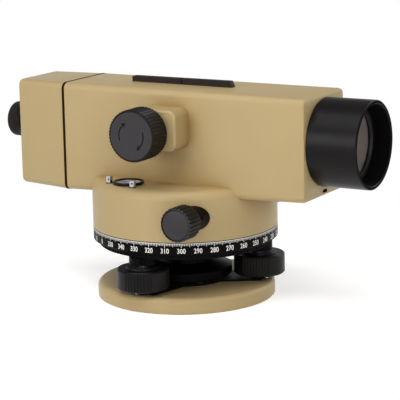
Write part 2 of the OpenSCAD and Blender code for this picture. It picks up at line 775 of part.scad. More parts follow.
// Graduated band over a skirt with fine upright ribs, carried by a thin web and hub
module graduated_ring() {
    skirt_in = skirt_r - skirt_rib - skirt_wall;
    color(black) {
        rotate_extrude($fn = round_fn) polygon([[ring_bore_r, ring_hub_z], [ring_bore_r + ring_hub_wall, ring_hub_z],
            [ring_bore_r + ring_hub_wall, ring_top - ring_web], [skirt_in, ring_top - ring_web],
            [skirt_in, skirt_z], [skirt_r - skirt_rib, skirt_z], [skirt_r - skirt_rib, band_z],
            [ring_r - 0.4, band_z], [ring_r, band_z + 0.4], [ring_r, ring_top - 0.3], [ring_r - 0.3, ring_top],
            [ring_bore_r, ring_top]]);
        translate([0, 0, skirt_z + 0.3]) difference() {
            linear_extrude(skirt_h) polygon(zigzag(skirt_ribs, skirt_r - skirt_rib - 0.2, skirt_r));
            translate([0, 0, -cut]) cylinder(r = skirt_r - skirt_rib - 1, h = skirt_h + 2 * cut, $fn = round_fn);
        }
    }
}

module drum_form() {
    rotate_extrude($fn = round_fn) polygon(concat(
        [[0, drum_z], [drum_r, drum_z]],
        [for (p = arc(shoulder_round, 0, 90, 10))
            [drum_r - shoulder_round + p[0], shoulder_z - shoulder_round + p[1]]],
        [[0, shoulder_z]]));
}

module focus_boss_form() {
    hull() {
        for (x = [boss_x0 + boss_round, boss_x1 - boss_round], z = [boss_z0 + boss_round, boss_z1 - boss_round]) {
            along_minus_y(x, inner_half_w + 1, z)
                cylinder(r = boss_round, h = boss_y - end_r / 2 - inner_half_w - 1, $fn = shell_fn);
            along_minus_y(x, inner_half_w + 1, z)
                cylinder(r = boss_round - end_r / 2, h = boss_y - inner_half_w - 1, $fn = shell_fn);
        }
    }
}

// Front casting: tapered box, drum, knob boss, and the seats of what it carries
module main_housing() {
    color(tan_paint) difference() {
        union() {
            difference() {
                union() {
                    loft([front_ring(seam_x, 0), front_ring(front_x - end_r, 0),
                        front_ring(front_x - end_r * 0.3, end_r * 0.3), front_ring(front_x, end_r)]);
                    drum_form();
                    focus_boss_form();
                }
                loft([ring(seam_x - cut, half_w_seam - wall, floor_z, roof_z - wall, inner_r),
                    ring(front_x - front_wall, half_w_front - wall, floor_z, roof_z - roof_fall - wall, inner_r)]);
                translate([0, 0, drum_z - cut])
                    cylinder(r = drum_r - drum_wall, h = drum_ceiling - drum_z + cut, $fn = round_fn);
            }
            for (y = [-1, 1], z = pillar_z) along_x(seam_x, y * pillar_y, z)
                cylinder(r = pillar_r, h = pillar_l, $fn = round_fn);
            for (x = [focus_tube_x0 + 2, focus_tube_x1 - 7])
                translate([x, -inner_half_w, floor_z - 1]) cube([5, 2 * inner_half_w, axis_z - floor_z - 5]);
            for (i = [0 : cover_screws - 1]) at_bearing(30 + i * 360 / cover_screws, cover_screw_pitch_r, cover_z + cover_t)
                cylinder(r = post_r, h = drum_ceiling - cover_z - cover_t + 1, $fn = round_fn);
        }
        along_x(front_x - front_wall - cut) cylinder(r = spigot_r + fit_gap, h = front_wall + 2 * cut, $fn = round_fn);
        along_x(focus_tube_x0 - cut)
            cylinder(r = focus_tube_r + focus_tube_wall + fit_gap, h = focus_tube_x1 - focus_tube_x0 + 2 * cut,
                $fn = round_fn);
        along_minus_y(pinion_x, inner_half_w - 3, pinion_z)
            cylinder(r = pinion_bush_r + fit_gap, h = boss_y - inner_half_w + 3 + cut, $fn = round_fn);
        both_sides() along_minus_y(worm_x, worm_bush_y0 - 1, worm_z)
            cylinder(r = worm_bush_r + fit_gap, h = worm_bush_y - worm_bush_y0, $fn = round_fn);
        for (y = [-1, 1], z = pillar_z) along_x(seam_x - cut, y * pillar_y, z)
            cylinder(r = small_screw_r + fit_gap, h = pillar_l, $fn = round_fn);
        for (i = [0 : cover_screws - 1]) at_bearing(30 + i * 360 / cover_screws, cover_screw_pitch_r, cover_z)
            cylinder(r = small_screw_r + fit_gap, h = cover_screw_l + 2, $fn = round_fn);
        translate([sight_rear_x - fit_gap, -sight_w / 2 - fit_gap, roof_z - roof_fall / 2 - sight_seat])
            cube([sight_front_x - sight_rear_x + 2 * fit_gap, sight_w + 2 * fit_gap, sight_seat + cut]);
        translate([level_x, -level_y, shoulder_z - cup_depth])
            cylinder(r = level_r - bezel_w + cup_wall + 0.1, h = cup_depth + cut, $fn = round_fn);
        for (b = level_bearings) translate([level_x, -level_y, shoulder_z - cup_depth])
            at_bearing(b, level_screw_pitch_r, 0) cylinder(r = 1 + fit_gap, h = cup_depth + cut, $fn = round_fn);
        front_plug_form(plug_h / 2 + fit_gap, 2.4, cut);
    }
}

module rear_housing() {
    color(tan_paint) difference() {
        union() {
            difference() {
                loft([rear_ring(rear_x, end_r), rear_ring(rear_x + end_r * 0.3, end_r * 0.3),
                    rear_ring(rear_x + end_r, 0), rear_ring(rear_front_x, 0)]);
                loft([rear_ring(rear_x + wall, wall), rear_ring(rear_front_x + cut, wall)]);
            }
            intersection() {
                for (y = [-1, 1], z = pillar_z) along_x(rear_x + wall / 2, y * pillar_y, z)
                    cylinder(r = pillar_r, h = rear_front_x - rear_x - wall / 2, $fn = round_fn);
                translate([rear_x, -half_w_rear, belly_z]) cube([rear_front_x - rear_x, 2 * half_w_rear, roof_z - belly_z]);
            }
        }
        for (y = [-1, 1], z = pillar_z) {
            along_x(rear_x - cut, y * pillar_y, z)
                cylinder(r = small_screw_r + fit_gap, h = rear_front_x - rear_x + 2 * cut, $fn = round_fn);
            along_x(rear_x - cut, y * pillar_y, z) cylinder(r = 2.8, h = cut + 1.8, $fn = round_fn);
        }
        along_x(rear_x - cut) cylinder(r = eye_tube_r + fit_gap, h = wall + 2 * cut, $fn = round_fn);
    }
}

module seam_gasket() {
    color("#1d1511") difference() {
        loft([rear_ring(rear_front_x, gasket_inset), rear_ring(seam_x, gasket_inset)]);
        loft([rear_ring(rear_front_x - cut, wall), rear_ring(seam_x + cut, wall)]);
    }
}

module housing_screws() {
    color(steel) for (y = [-1, 1], z = pillar_z) difference() {
        union() {
            along_x(rear_x + 0.3, y * pillar_y, z) cylinder(r = 2.6, h = 1.5, $fn = round_fn);
            along_x(rear_x + 1, y * pillar_y, z)
                cylinder(r = small_screw_r, h = rear_front_x - rear_x + pillar_l - 3, $fn = round_fn);
        }
        translate([rear_x, y * pillar_y - 0.3, z - 3]) cube([1, 0.6, 6]);
    }
}

module drum_cover() {
    color(black) difference() {
        translate([0, 0, cover_z]) tube(cover_r, cover_hole_r, cover_t);
        for (i = [0 : cover_screws - 1]) at_bearing(30 + i * 360 / cover_screws, cover_screw_pitch_r, cover_z - cut)
            cylinder(r = small_screw_r + fit_gap, h = cover_t + 2 * cut, $fn = round_fn);
    }
}

module drum_cover_screws() {
    color(steel) for (i = [0 : cover_screws - 1]) at_bearing(30 + i * 360 / cover_screws, cover_screw_pitch_r, 0) {
        translate([0, 0, cover_z - cover_head_h]) cylinder(r = cover_head_r, h = cover_head_h, $fn = round_fn);
        translate([0, 0, cover_z - cover_head_h / 2]) cylinder(r = small_screw_r, h = cover_screw_l, $fn = round_fn);
    }
}

module vertical_spindle() {
    color(steel) {
        translate([0, 0, spindle_flange_z]) cylinder(r = spindle_flange_r, h = spindle_flange_t, $fn = round_fn);
        translate([0, 0, axis_bush_z - face_gap])
            cylinder(r = spindle_r, h = spindle_flange_z - axis_bush_z + 1, $fn = round_fn);
        translate([0, 0, axis_bush_z - face_gap - nut_t - 0.8])
            cylinder(r = spindle_thread_r, h = nut_t + 2, $fn = round_fn);
    }
}

module spindle_nut() {
    color(brass) translate([0, 0, axis_bush_z - face_gap - nut_t]) difference() {
        cylinder(r = nut_r, h = nut_t, $fn = round_fn);
        translate([0, 0, -cut]) cylinder(r = spindle_thread_r + fit_gap, h = nut_t + 2 * cut, $fn = round_fn);
        for (t = [0, 90]) rotate(t) translate([-nut_r - 1, -1, -cut]) cube([2 * nut_r + 2, 2, cut + 1]);
    }
}

module objective_hood() {
    spigot_l = front_wall - 0.2;
    color(black) along_x(0) rotate_extrude($fn = round_fn) polygon([
        [cell_r + fit_gap, front_x - spigot_l], [spigot_r, front_x - spigot_l], [spigot_r, front_x],
        [hood_r - root_groove_d, front_x], [hood_r - root_groove_d, front_x + root_groove_w],
        [hood_r, front_x + root_groove_w], [hood_r, hood_x - 0.5], [hood_r - 0.5, hood_x],
        [hood_bore_r + 0.6, hood_x], [hood_bore_r, hood_x - 0.6], [hood_bore_r, lens_seat_x],
        [cell_r + fit_gap, lens_seat_x]]);
}

module objective_cell() {
    seat_x = lens_vertex_x - crown_t - flint_t - 2;
    color(black) along_x(0) rotate_extrude($fn = round_fn) polygon([
        [lens_clear_r - 1, lens_seat_x - cell_l], [cell_r, lens_seat_x - cell_l], [cell_r, lens_seat_x],
        [cell_r - cell_wall, lens_seat_x], [cell_r - cell_wall, seat_x], [lens_clear_r - 1, seat_x]]);
}

// Depth of a curved lens face at distance y from the axis, below zero for a hollow face
function sag(y, r) = r - sign(r) * sqrt(r * r - y * y);

// Round lens on the optical axis; a face of radius r bulges out, one of radius -r is hollow
module lens(r, x_rear, r_rear, x_front, r_front, steps = 12) {
    along_x(0) rotate_extrude($fn = round_fn) polygon(concat(
        [for (i = [0 : steps]) [r * i / steps, x_rear + sag(r * i / steps, r_rear)]],
        [for (i = [steps : -1 : 0]) [r * i / steps, x_front - sag(r * i / steps, r_front)]]));
}

module crown_lens() {
    color(clear_glass) lens(cell_r - cell_wall - fit_gap, lens_vertex_x - crown_t, cement_r,
        lens_vertex_x, crown_front_r);
}

module flint_lens() {
    x_cement = lens_vertex_x - crown_t - 0.05;
    color(clear_glass) lens(cell_r - cell_wall - fit_gap, x_cement - flint_t, -flint_rear_r, x_cement, -cement_r);
}

module lens_retaining_ring() {
    color(dark_grey) along_x(lens_seat_x - lens_ring_t) difference() {
        tube(cell_r - cell_wall - fit_gap, lens_clear_r, lens_ring_t);
        for (t = [0, 180]) rotate(t) translate([lens_clear_r - 1, -0.5, lens_ring_t - 0.6]) cube([2, 1, 1]);
    }
}

module front_plug_form(r, depth, over) {
    z = belly_z + belly_rise + plug_up;
    for (y = [-1, 1]) along_x(front_x - depth, y * (plug_w / 2 - plug_h / 2), z)
        cylinder(r = r, h = depth + over, $fn = round_fn);
    translate([front_x - depth, -plug_w / 2 + plug_h / 2, z - r]) cube([depth + over, plug_w - plug_h, 2 * r]);
}

module front_plug() {
    color(black) difference() {
        front_plug_form(plug_h / 2, 2.3, -0.6);
    }
}

// Two bars in one shallow seat: a square rear bar and a front bar that slopes off
module sight_bars() {
    z0 = roof_z - roof_fall / 2 - sight_seat;
    z1 = roof_z - roof_fall / 2 + sight_h;
    color(black) translate([0, sight_w / 2, 0]) rotate([90, 0, 0]) linear_extrude(sight_w) {
        polygon([[sight_rear_x, z0], [sight_gap_x - sight_gap / 2, z0], [sight_gap_x - sight_gap / 2, z1],
            [sight_rear_x + 0.4, z1], [sight_rear_x, z1 - 0.4]]);
        polygon([[sight_gap_x + sight_gap / 2, z0], [sight_front_x, z0], [sight_front_x, z0 + sight_seat + 0.4],
            [sight_front_x - sight_slope, z1], [sight_gap_x + sight_gap / 2, z1]]);
    }
}

module focus_tube() {
    color(dark_grey) difference() {
        along_x(focus_tube_x0) tube(focus_tube_r + focus_tube_wall, focus_tube_r, focus_tube_x1 - focus_tube_x0);
        translate([pinion_x - focus_travel - 7, -focus_tube_r - focus_tube_wall - 2, rack_z - rack_h - 1])
            cube([2 * focus_travel + 14, focus_tube_wall + 8, rack_h + 1]);
    }
}

module pinion_bush() {
    color(bronze) along_minus_y(pinion_x, inner_half_w + 0.3, pinion_z)
        tube(pinion_bush_r, pinion_shaft_r + run_gap, boss_y - inner_half_w + 0.4);
}

module level_cup() {
    color(black) translate([level_x, -level_y, 0]) difference() {
        union() {
            translate([0, 0, shoulder_z]) cylinder(r = level_r, h = level_flange_t, $fn = round_fn);
            translate([0, 0, shoulder_z - cup_depth + 0.3])
                cylinder(r = level_r - bezel_w + cup_wall, h = cup_depth, $fn = round_fn);
            for (b = level_bearings) {
                at_bearing(b, level_screw_pitch_r, shoulder_z) cylinder(r = level_ear_r, h = level_flange_t, $fn = round_fn);
                rotate(b) translate([-level_ear_r * 0.8, -level_screw_pitch_r, shoulder_z])
                    cube([level_ear_r * 1.6, level_screw_pitch_r - level_r + 0.3, level_flange_t]);
            }
        }
        translate([0, 0, shoulder_z - cup_depth + 0.3 + cup_wall])
            cylinder(r = level_r - bezel_w, h = cup_depth + cut, $fn = round_fn);
        for (b = level_bearings) at_bearing(b, level_screw_pitch_r, shoulder_z - cut)
            cylinder(r = 1 + fit_gap, h = level_flange_t + 2 * cut, $fn = round_fn);
    }
}

module level_bezel() {
    color(black) translate([level_x, -level_y, level_top]) rotate_extrude($fn = round_fn) polygon([
        [level_r - bezel_w, 0], [level_r, 0], [level_r, bezel_h - 0.3], [level_r - 0.3, bezel_h],
        [level_r - bezel_w + 0.3, bezel_h], [level_r - bezel_w, bezel_h - 0.3]]);
}

module level_vial() {
    color(clear_glass) translate([level_x, -level_y, shoulder_z - cup_depth + 0.3 + cup_wall])
        cylinder(r = level_r - bezel_w - fit_gap, h = cup_depth + level_flange_t - cup_wall, $fn = round_fn);
}

// Capstan screws: a drum head with two crossing holes
module level_screws() {
    color(steel) translate([level_x, -level_y, 0]) for (b = level_bearings)
        at_bearing(b, level_screw_pitch_r, level_top) difference() {
            union() {
                cylinder(r = level_head_r, h = level_head_h, $fn = round_fn);
                translate([0, 0, -level_flange_t - cup_depth + 1.5]) cylinder(r = 1, h = cup_depth, $fn = round_fn);
            }
            for (t = [20, 110]) translate([0, 0, level_head_h * 0.55]) rotate([90, 0, t])
                cylinder(r = level_hole_r, h = 3 * level_head_r, center = true, $fn = round_fn);
        }
}

module reticle_plate() {
    color(dark_grey) difference() {
        for (corner = [[0, edge_r], [edge_r, 0]])
            translate([seam_x + 0.2, corner[0] + face_gap - inner_half_w, corner[1] + floor_z + face_gap])
                cube([reticle_plate_t, 2 * (inner_half_w - face_gap - corner[0]),
                    roof_z - wall - floor_z - 2 * (face_gap + corner[1])]);
        along_x(seam_x - cut) cylinder(r = reticle_r + fit_gap, h = reticle_plate_t + 2 * cut, $fn = round_fn);
        for (y = [-1, 1], z = pillar_z) along_x(seam_x - cut, y * pillar_y, z)
            cylinder(r = pillar_r + 0.3, h = pillar_l, $fn = round_fn);
        for (y = [-1, 1]) along_x(seam_x - cut, y * reticle_screw_y, axis_z)
            cylinder(r = small_screw_r + fit_gap, h = reticle_plate_t + 2 * cut, $fn = round_fn);
    }
}

module reticle_glass() {
    color(clear_glass) along_x(seam_x + 0.2) cylinder(r = reticle_r, h = reticle_t, $fn = round_fn);
}

module reticle_screws() {
    color(steel) for (y = [-1, 1]) {
        along_x(seam_x + 0.2 - 0.9, y * reticle_screw_y, axis_z) cylinder(r = 2.4, h = 0.9, $fn = round_fn);
        along_x(seam_x, y * reticle_screw_y, axis_z) cylinder(r = small_screw_r, h = reticle_plate_t, $fn = round_fn);
    }
}

// Frame that straddles the pendulum: floor, two posts, head bar, and the pedestal of the fixed prism
module compensator_frame() {
    head_z = pendulum_axis_z - 1;
    color(dark_grey) {
        translate([comp_x - comp_floor_l / 2, -comp_post_y - comp_post_w, floor_z])
            cube([comp_floor_l, 2 * (comp_post_y + comp_post_w), comp_floor_t]);
        translate([comp_x - comp_floor_l, -prism_w / 2 + 1, floor_z]) cube([comp_floor_l, prism_w - 2, comp_floor_t]);
        for (y = [-comp_post_y - comp_post_w, comp_post_y]) translate([comp_x - comp_post_l / 2, y, floor_z])
            cube([comp_post_l, comp_post_w, head_z - floor_z + comp_head_t]);
        translate([comp_x - comp_post_l / 2, -comp_post_y, head_z]) cube([comp_post_l, 2 * comp_post_y, comp_head_t]);
        translate([comp_x - comp_floor_l + 1, -prism_w / 2 + 3, floor_z])
            cube([prism_t - 2, prism_w - 6, axis_z - prism_h / 2 - floor_z]);
        for (y = [-1, 1]) translate([comp_x - 3, y * (vane_t / 2 + magnet_gap + magnet_l / 2) - 3, floor_z])
            cube([6, 6, vane_z + 1 - floor_z]);
    }
}

module suspension_wires() {
    color(steel) for (x = [-1, 1], y = [-1, 1])
        translate([comp_x + x * 3, y * (pendulum_w / 2 - 3), pendulum_top + 0.3])
            cylinder(r = wire_r, h = pendulum_axis_z - 1 - pendulum_top - 0.3, $fn = 24);
}

module damping_magnets() {
    color(steel) for (y = [-1, 1])
        translate([comp_x, y * (vane_t / 2 + magnet_gap + magnet_l / 2), vane_z + 1 + magnet_r])
            rotate([90, 0, 0]) cylinder(r = magnet_r, h = magnet_l, center = true, $fn = round_fn);
}

module fixed_prism() {
    color(clear_glass) translate([comp_x - comp_floor_l, prism_w / 2, axis_z - prism_h / 2])
        rotate([90, 0, 0]) linear_extrude(prism_w) polygon([[0, 0], [prism_t, 0], [prism_t, prism_h]]);
}

module pendulum_frame() {
    color("#9a9488") {
        difference() {
            translate([comp_x - pendulum_l / 2, -pendulum_w / 2, pendulum_bottom])
                cube([pendulum_l, pendulum_w, pendulum_top - pendulum_bottom]);
            translate([comp_x - pendulum_l / 2 - cut, -pendulum_w / 2 + pendulum_wall, pendulum_bottom + pendulum_wall])
                cube([pendulum_l + 2 * cut, pendulum_w - 2 * pendulum_wall,
                    pendulum_top - pendulum_bottom - 2 * pendulum_wall]);
        }
        translate([comp_x - 5, -vane_t / 2, vane_z + 1]) cube([10, vane_t, pendulum_bottom - vane_z]);
    }
}

module pendulum_prism() {
    w = pendulum_w - 2 * pendulum_wall - 0.2;
    color(clear_glass) translate([comp_x - pendulum_l / 2 + 1, w / 2, pendulum_bottom + pendulum_wall])
        rotate([90, 0, 0]) linear_extrude(w) polygon([[0, 0], [pendulum_l - 2, 0], [pendulum_l / 2 - 1, prism_h]]);
}

module eyepiece_tube() {
    color(black) along_x(0) rotate_extrude($fn = round_fn) polygon([
        [eye_tube_r - eye_tube_wall, rear_x + eye_tube_in], [eye_tube_r, rear_x + eye_tube_in], [eye_tube_r, rear_x],
        [eye_flange_r, rear_x], [eye_flange_r, eye_flange_x + 0.4], [eye_flange_r - 0.4, eye_flange_x],
        [eye_tube_r, eye_flange_x], [eye_tube_r, eye_flange_x - eye_tube_out],
        [eye_tube_r - eye_tube_wall, eye_flange_x - eye_tube_out]]);
}

module dioptre_ring() {
    color(black) {
        along_x(dioptre_x0) tube(dioptre_r - knurl_depth, eye_tube_r + run_gap, dioptre_l);
        along_x(dioptre_x0 + 2) difference() {
            linear_extrude(dioptre_l - 3) polygon(zigzag(dioptre_knurl, dioptre_r - knurl_depth - 0.1, dioptre_r));
            translate([0, 0, -cut]) cylinder(r = dioptre_r - knurl_depth - 0.6, h = dioptre_l, $fn = round_fn);
        }
    }
}

module eyecup() {
    color("#242223") along_x(0) rotate_extrude($fn = round_fn) polygon(concat(
        [[eye_tube_r, dioptre_x0], [eyecup_r - 0.3, dioptre_x0], [eyecup_r, dioptre_x0 - 1]],
        [for (p = arc(2, 0, 90, 5)) [eyecup_r - 2 + p[0], dioptre_x0 - eyecup_l + 2 - p[1]]],
        [[eyecup_bore_r + 0.8, dioptre_x0 - eyecup_l], [eyecup_bore_r, dioptre_x0 - eyecup_l + 2],
            [eyecup_bore_r, dioptre_x0 - 4.2], [eye_tube_r - 0.5, dioptre_x0 - 3.2]]));
}

module eye_cell() {
    color(dark_grey) along_x(eye_cell_x1 - eye_cell_l) difference() {
        cylinder(r = eye_tube_r - eye_tube_wall - run_gap, h = eye_cell_l, $fn = round_fn);
        translate([0, 0, -cut]) cylinder(r = eye_lens_r, h = 4 + cut, $fn = round_fn);
        translate([0, 0, 3]) cylinder(r = eye_lens_r - 0.8, h = eye_cell_l, $fn = round_fn);
    }
}

module eye_lens() {
    x1 = eye_cell_x1 - eye_cell_l + 4;
    color(clear_glass) lens(eye_lens_r - fit_gap, x1 - 3.5, 20, x1, 60);
}

// Arrow engraved along an arc: a curved line with a three-cornered head
module turn_arrow(from, to) {
    rotate(from) rotate_extrude(angle = to - from, $fn = round_fn)
        translate([arrow_r - arrow_w / 2, 0]) square([arrow_w, arrow_depth + cut]);
    rotate(to) translate([arrow_r, 0, 0]) linear_extrude(arrow_depth + cut)
        polygon([[-1.5, -0.4], [1.5, -0.4], [0, 2.6]]);
}

module focus_knob() {
    color(dark_grey) along_minus_y(pinion_x, focus_back_y, pinion_z) difference() {
        union() {
            rotate_extrude($fn = round_fn) polygon([[pinion_shaft_r, 6], [focus_knob_r - 3.5, 6], [focus_knob_r - 3.5, 0],
                [focus_knob_r - knurl_depth - 0.4, 0], [focus_knob_r - knurl_depth, 0.4],
                [focus_knob_r - knurl_depth, focus_knob_l - 1], [focus_knob_r - knurl_depth - 1, focus_knob_l],
                [0, focus_knob_l], [0, focus_knob_l - 3], [pinion_shaft_r, focus_knob_l - 3]]);
            translate([0, 0, 1]) difference() {
                linear_extrude(focus_knob_l - 1.3)
                    polygon(zigzag(focus_knurl, focus_knob_r - knurl_depth - 0.1, focus_knob_r));
                translate([0, 0, -cut]) cylinder(r = focus_knob_r - knurl_depth - 0.8, h = focus_knob_l, $fn = round_fn);
            }
        }
        translate([0, 0, focus_knob_l - arrow_depth]) for (side = [0, 180])
            rotate(side) mirror([0, 1, 0]) turn_arrow(-20, 50);
    }
}

module pinion_shaft() {
    gear_y = rack_y1;
    color(steel) {
        along_minus_y(pinion_x, gear_y - 0.2, pinion_z)
            cylinder(r = pinion_shaft_r, h = focus_back_y + focus_knob_l - 3 - gear_y + 0.2, $fn = round_fn);
        along_minus_y(pinion_x, gear_y, pinion_z) linear_extrude(rack_w)
            polygon(gear_outline(pinion_teeth, pitch_r - 0.6, pitch_r + 0.4,
                rack_pitch / 4 - backlash / 4 + 0.1, rack_pitch / 4 - backlash / 4 - 0.2));
    }
}

// Sliding cell with an arm that reaches through the tube's slot to the rack
module focus_cell() {
    tooth = rack_pitch / 2 - backlash / 2;
    steps = ceil((focus_travel + 3) / rack_pitch);
    half_l = steps * rack_pitch;
    color(dark_grey) {
        difference() {
            along_x(pinion_x - focus_cell_l / 2) tube(focus_tube_r - run_gap, focus_lens_r - 1.5, focus_cell_l);
            along_x(pinion_x - 2) cylinder(r = focus_lens_r + fit_gap, h = focus_cell_l, $fn = round_fn);
        }
        translate([pinion_x - 5, -rack_y1 - 0.5, rack_z - rack_h]) cube([10, rack_y1 - focus_tube_r + 3.5, rack_h - 1]);
        translate([pinion_x, -rack_y1, 0]) rotate([90, 0, 0]) linear_extrude(rack_w) {
            translate([-half_l, rack_z - rack_h]) square([2 * half_l, rack_h - 0.6]);
            for (k = [-steps : steps - 1]) translate([(k + 0.5) * rack_pitch, rack_z])
                polygon([[-tooth / 2 - 0.1, -0.65], [tooth / 2 + 0.1, -0.65], [tooth / 2 - 0.2, 0.35],
                    [-tooth / 2 + 0.2, 0.35]]);
        }
    }
}

module focus_lens() {
    x0 = pinion_x - 2;
    color(clear_glass) lens(focus_lens_r, x0 + 1, -focus_face_r, x0 + focus_lens_t - 1, -focus_face_r);
}

module worm_bushes() {
    color(black) both_sides() difference() {
        along_minus_y(worm_x, worm_bush_y0, worm_z)
            tube(worm_bush_r, worm_shaft_r + run_gap, worm_bush_y - worm_bush_y0);
        translate([worm_x, -pin_hole_y, worm_z]) rotate([0, pin_hole_angle, 0])
            translate([0, 0, worm_bush_r - 1.5]) cylinder(r = 1, h = 3, $fn = round_fn);
    }
}

module worm_shaft() {
    turns = floor(worm_l / worm_pitch / 2);
    color(steel) {
        both_sides() {
            along_minus_y(worm_x, worm_l / 2, worm_z)
                cylinder(r = worm_shaft_r, h = tangent_back_y + tangent_l - 3 - worm_l / 2, $fn = round_fn);
            along_minus_y(worm_x, worm_bush_y0 - face_gap - worm_collar_w, worm_z)
                cylinder(r = worm_collar_r, h = worm_collar_w, $fn = round_fn);
        }
        along_minus_y(worm_x, 0, worm_z) rotate_extrude($fn = round_fn) polygon(concat(
            [[0, -worm_l / 2 - 1]], [[worm_r - worm_depth, -worm_l / 2 - 1]],
            [for (k = [-turns : turns - 1], s = [0, 1])
                [s == 0 ? worm_r - worm_depth : worm_r, (k + s / 2) * worm_pitch]],
            [[worm_r - worm_depth, turns * worm_pitch], [worm_r - worm_depth, worm_l / 2 + 1], [0, worm_l / 2 + 1]]));
    }
}

module tangent_knobs() {
    color(black) both_sides() along_minus_y(worm_x, tangent_back_y, worm_z) difference() {
        rotate_extrude($fn = round_fn) polygon([[worm_shaft_r, 0], [tangent_r - 0.8, 0], [tangent_r, 0.8],
            [tangent_r, tangent_l - 0.7], [tangent_r - 0.7, tangent_l], [cap_r + cap_groove, tangent_l],
            [cap_r + cap_groove, tangent_l - 1.5], [0, tangent_l - 1.5], [0, tangent_l - 3],
            [worm_shaft_r, tangent_l - 3]]);
        for (t = [0 : tangent_flutes - 1]) rotate(t * 360 / tangent_flutes) translate([tangent_r + 0.1, 0, -cut])
            cylinder(r = flute_r, h = tangent_l + 2 * cut, $fn = round_fn);
    }
}

module tangent_caps() {
    dome_r = (cap_r * cap_r + cap_rise * cap_rise) / (2 * cap_rise);
    color("#4a484b") both_sides() along_minus_y(worm_x, tangent_back_y + tangent_l - 1.5, worm_z) intersection() {
        cylinder(r = cap_r, h = 1.2 + cap_rise, $fn = round_fn);
        translate([0, 0, 1.2 + cap_rise - dome_r]) sphere(r = dome_r, $fn = 180);
    }
}

module worm_wheel() {
    color(brass) translate([0, 0, wheel_z0]) difference() {
        linear_extrude(wheel_w) polygon(zigzag(wheel_teeth, wheel_r - wheel_tooth, wheel_r));
        translate([0, 0, -cut]) cylinder(r = stub_r + run_gap, h = wheel_w + 2 * cut, $fn = round_fn);
    }
}

module clutch_spring() {
    color(steel) translate([0, 0, clutch_z0 + 0.05]) tube(stub_r + 6, stub_r + 0.3, clutch_t - 0.1);
}

base_plate();
spring_plate();
spring_plate_screws();
foot_screw(0);  // foot_screw_1
foot_screw(1);  // foot_screw_2
foot_screw(2);  // foot_screw_3
foot_knob(0);  // foot_knob_1
foot_knob(1);  // foot_knob_2
foot_knob(2);  // foot_knob_3
tribrach_head();
foot_bushes();
axis_bush();
ring_friction_washer();
graduated_ring();
main_housing();
rear_housing();
seam_gasket();
housing_screws();
drum_cover();
drum_cover_screws();
vertical_spindle();
spindle_nut();
objective_hood();
objective_cell();
crown_lens();
flint_lens();
lens_retaining_ring();
front_plug();
sight_bars();
focus_tube();
pinion_bush();
level_cup();
level_bezel();
level_vial();
level_screws();
reticle_plate();
reticle_glass();
reticle_screws();
compensator_frame();
suspension_wires();
damping_magnets();
fixed_prism();
pendulum_frame();
pendulum_prism();
eyepiece_tube();
dioptre_ring();
eyecup();
eye_cell();
eye_lens();
focus_knob();
pinion_shaft();
focus_cell();
focus_lens();
worm_bushes();
worm_shaft();
tangent_knobs();
tangent_caps();
worm_wheel();
clutch_spring();
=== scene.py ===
"""Looks of the automatic level: finishes, the divided circle, the bull's eye level, light and camera.

Everything is in metres, in the frame of the CAD model: +Z up the vertical axis, +X towards the objective.
Measures of the instrument are written in millimetres and multiplied by MM, those of the studio in metres.
"""

import math

import bpy
from mathutils import Matrix, Vector


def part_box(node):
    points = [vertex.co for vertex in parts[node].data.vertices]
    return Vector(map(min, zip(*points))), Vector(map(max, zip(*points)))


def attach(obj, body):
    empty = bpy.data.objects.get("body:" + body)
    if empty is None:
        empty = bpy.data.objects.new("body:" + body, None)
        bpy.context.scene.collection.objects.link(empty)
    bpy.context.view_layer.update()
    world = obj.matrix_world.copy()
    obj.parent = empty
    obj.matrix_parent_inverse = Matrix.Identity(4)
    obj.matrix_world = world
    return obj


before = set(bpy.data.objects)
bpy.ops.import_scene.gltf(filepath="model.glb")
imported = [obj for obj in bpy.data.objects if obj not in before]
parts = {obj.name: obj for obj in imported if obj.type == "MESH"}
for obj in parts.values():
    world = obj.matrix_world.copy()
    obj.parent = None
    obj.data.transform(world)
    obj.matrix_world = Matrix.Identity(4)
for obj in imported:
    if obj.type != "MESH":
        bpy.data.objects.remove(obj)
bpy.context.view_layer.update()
scene = bpy.context.scene

MM = 0.001
# Height of the line of sight above the ground.
SIGHT_Z = 101.67


# Nodes and colours

def linear(hex_code):
    """An sRGB hex colour such as 'bfa67c' as linear red, green, blue and alpha."""
    channels = [int(hex_code[i:i + 2], 16) / 255 for i in (0, 2, 4)]
    return [c / 12.92 if c <= 0.04045 else ((c + 0.055) / 1.055) ** 2.4 for c in channels] + [1.0]


def scaled(colour, factor):
    """A linear colour made lighter or darker."""
    return [min(c * factor, 1) for c in colour[:3]] + [1]


def add(tree, kind, settings=None, links=None):
    """Adds one node. Settings are its inputs or its properties by name, links are inputs by name."""
    node = tree.nodes.new(kind)
    for name, value in (settings or {}).items():
        if name in node.inputs:
            node.inputs[name].default_value = value
        else:
            setattr(node, name, value)
    for name, source in (links or {}).items():
        socket = source.outputs[0] if isinstance(source, bpy.types.Node) else source
        tree.links.new(socket, node.inputs[name])
    return node


def new_material(name):
    """An empty node material, its node tree, and the place of a point on the object."""
    material = bpy.data.materials.new(name)
    material.use_nodes = True
    tree = material.node_tree
    tree.nodes.clear()
    return material, tree, add(tree, "ShaderNodeTexCoord").outputs["Object"]


def per_metre(size_mm):
    """Scale of a noise whose grains are this many millimetres across."""
    return 1 / (size_mm * MM)


# Tone and roughness of a coat drift over this many millimetres, the roughness by this much to either side.
DRIFT_MM = 22
GLOSS_DRIFT = 0.08
# All the painted shade lies where less than the first share of the sky is open, and none above the second.
SHADED_BELOW, UNSHADED_ABOVE = 0.35, 0.85
ALMOST_BLACK = "050404"


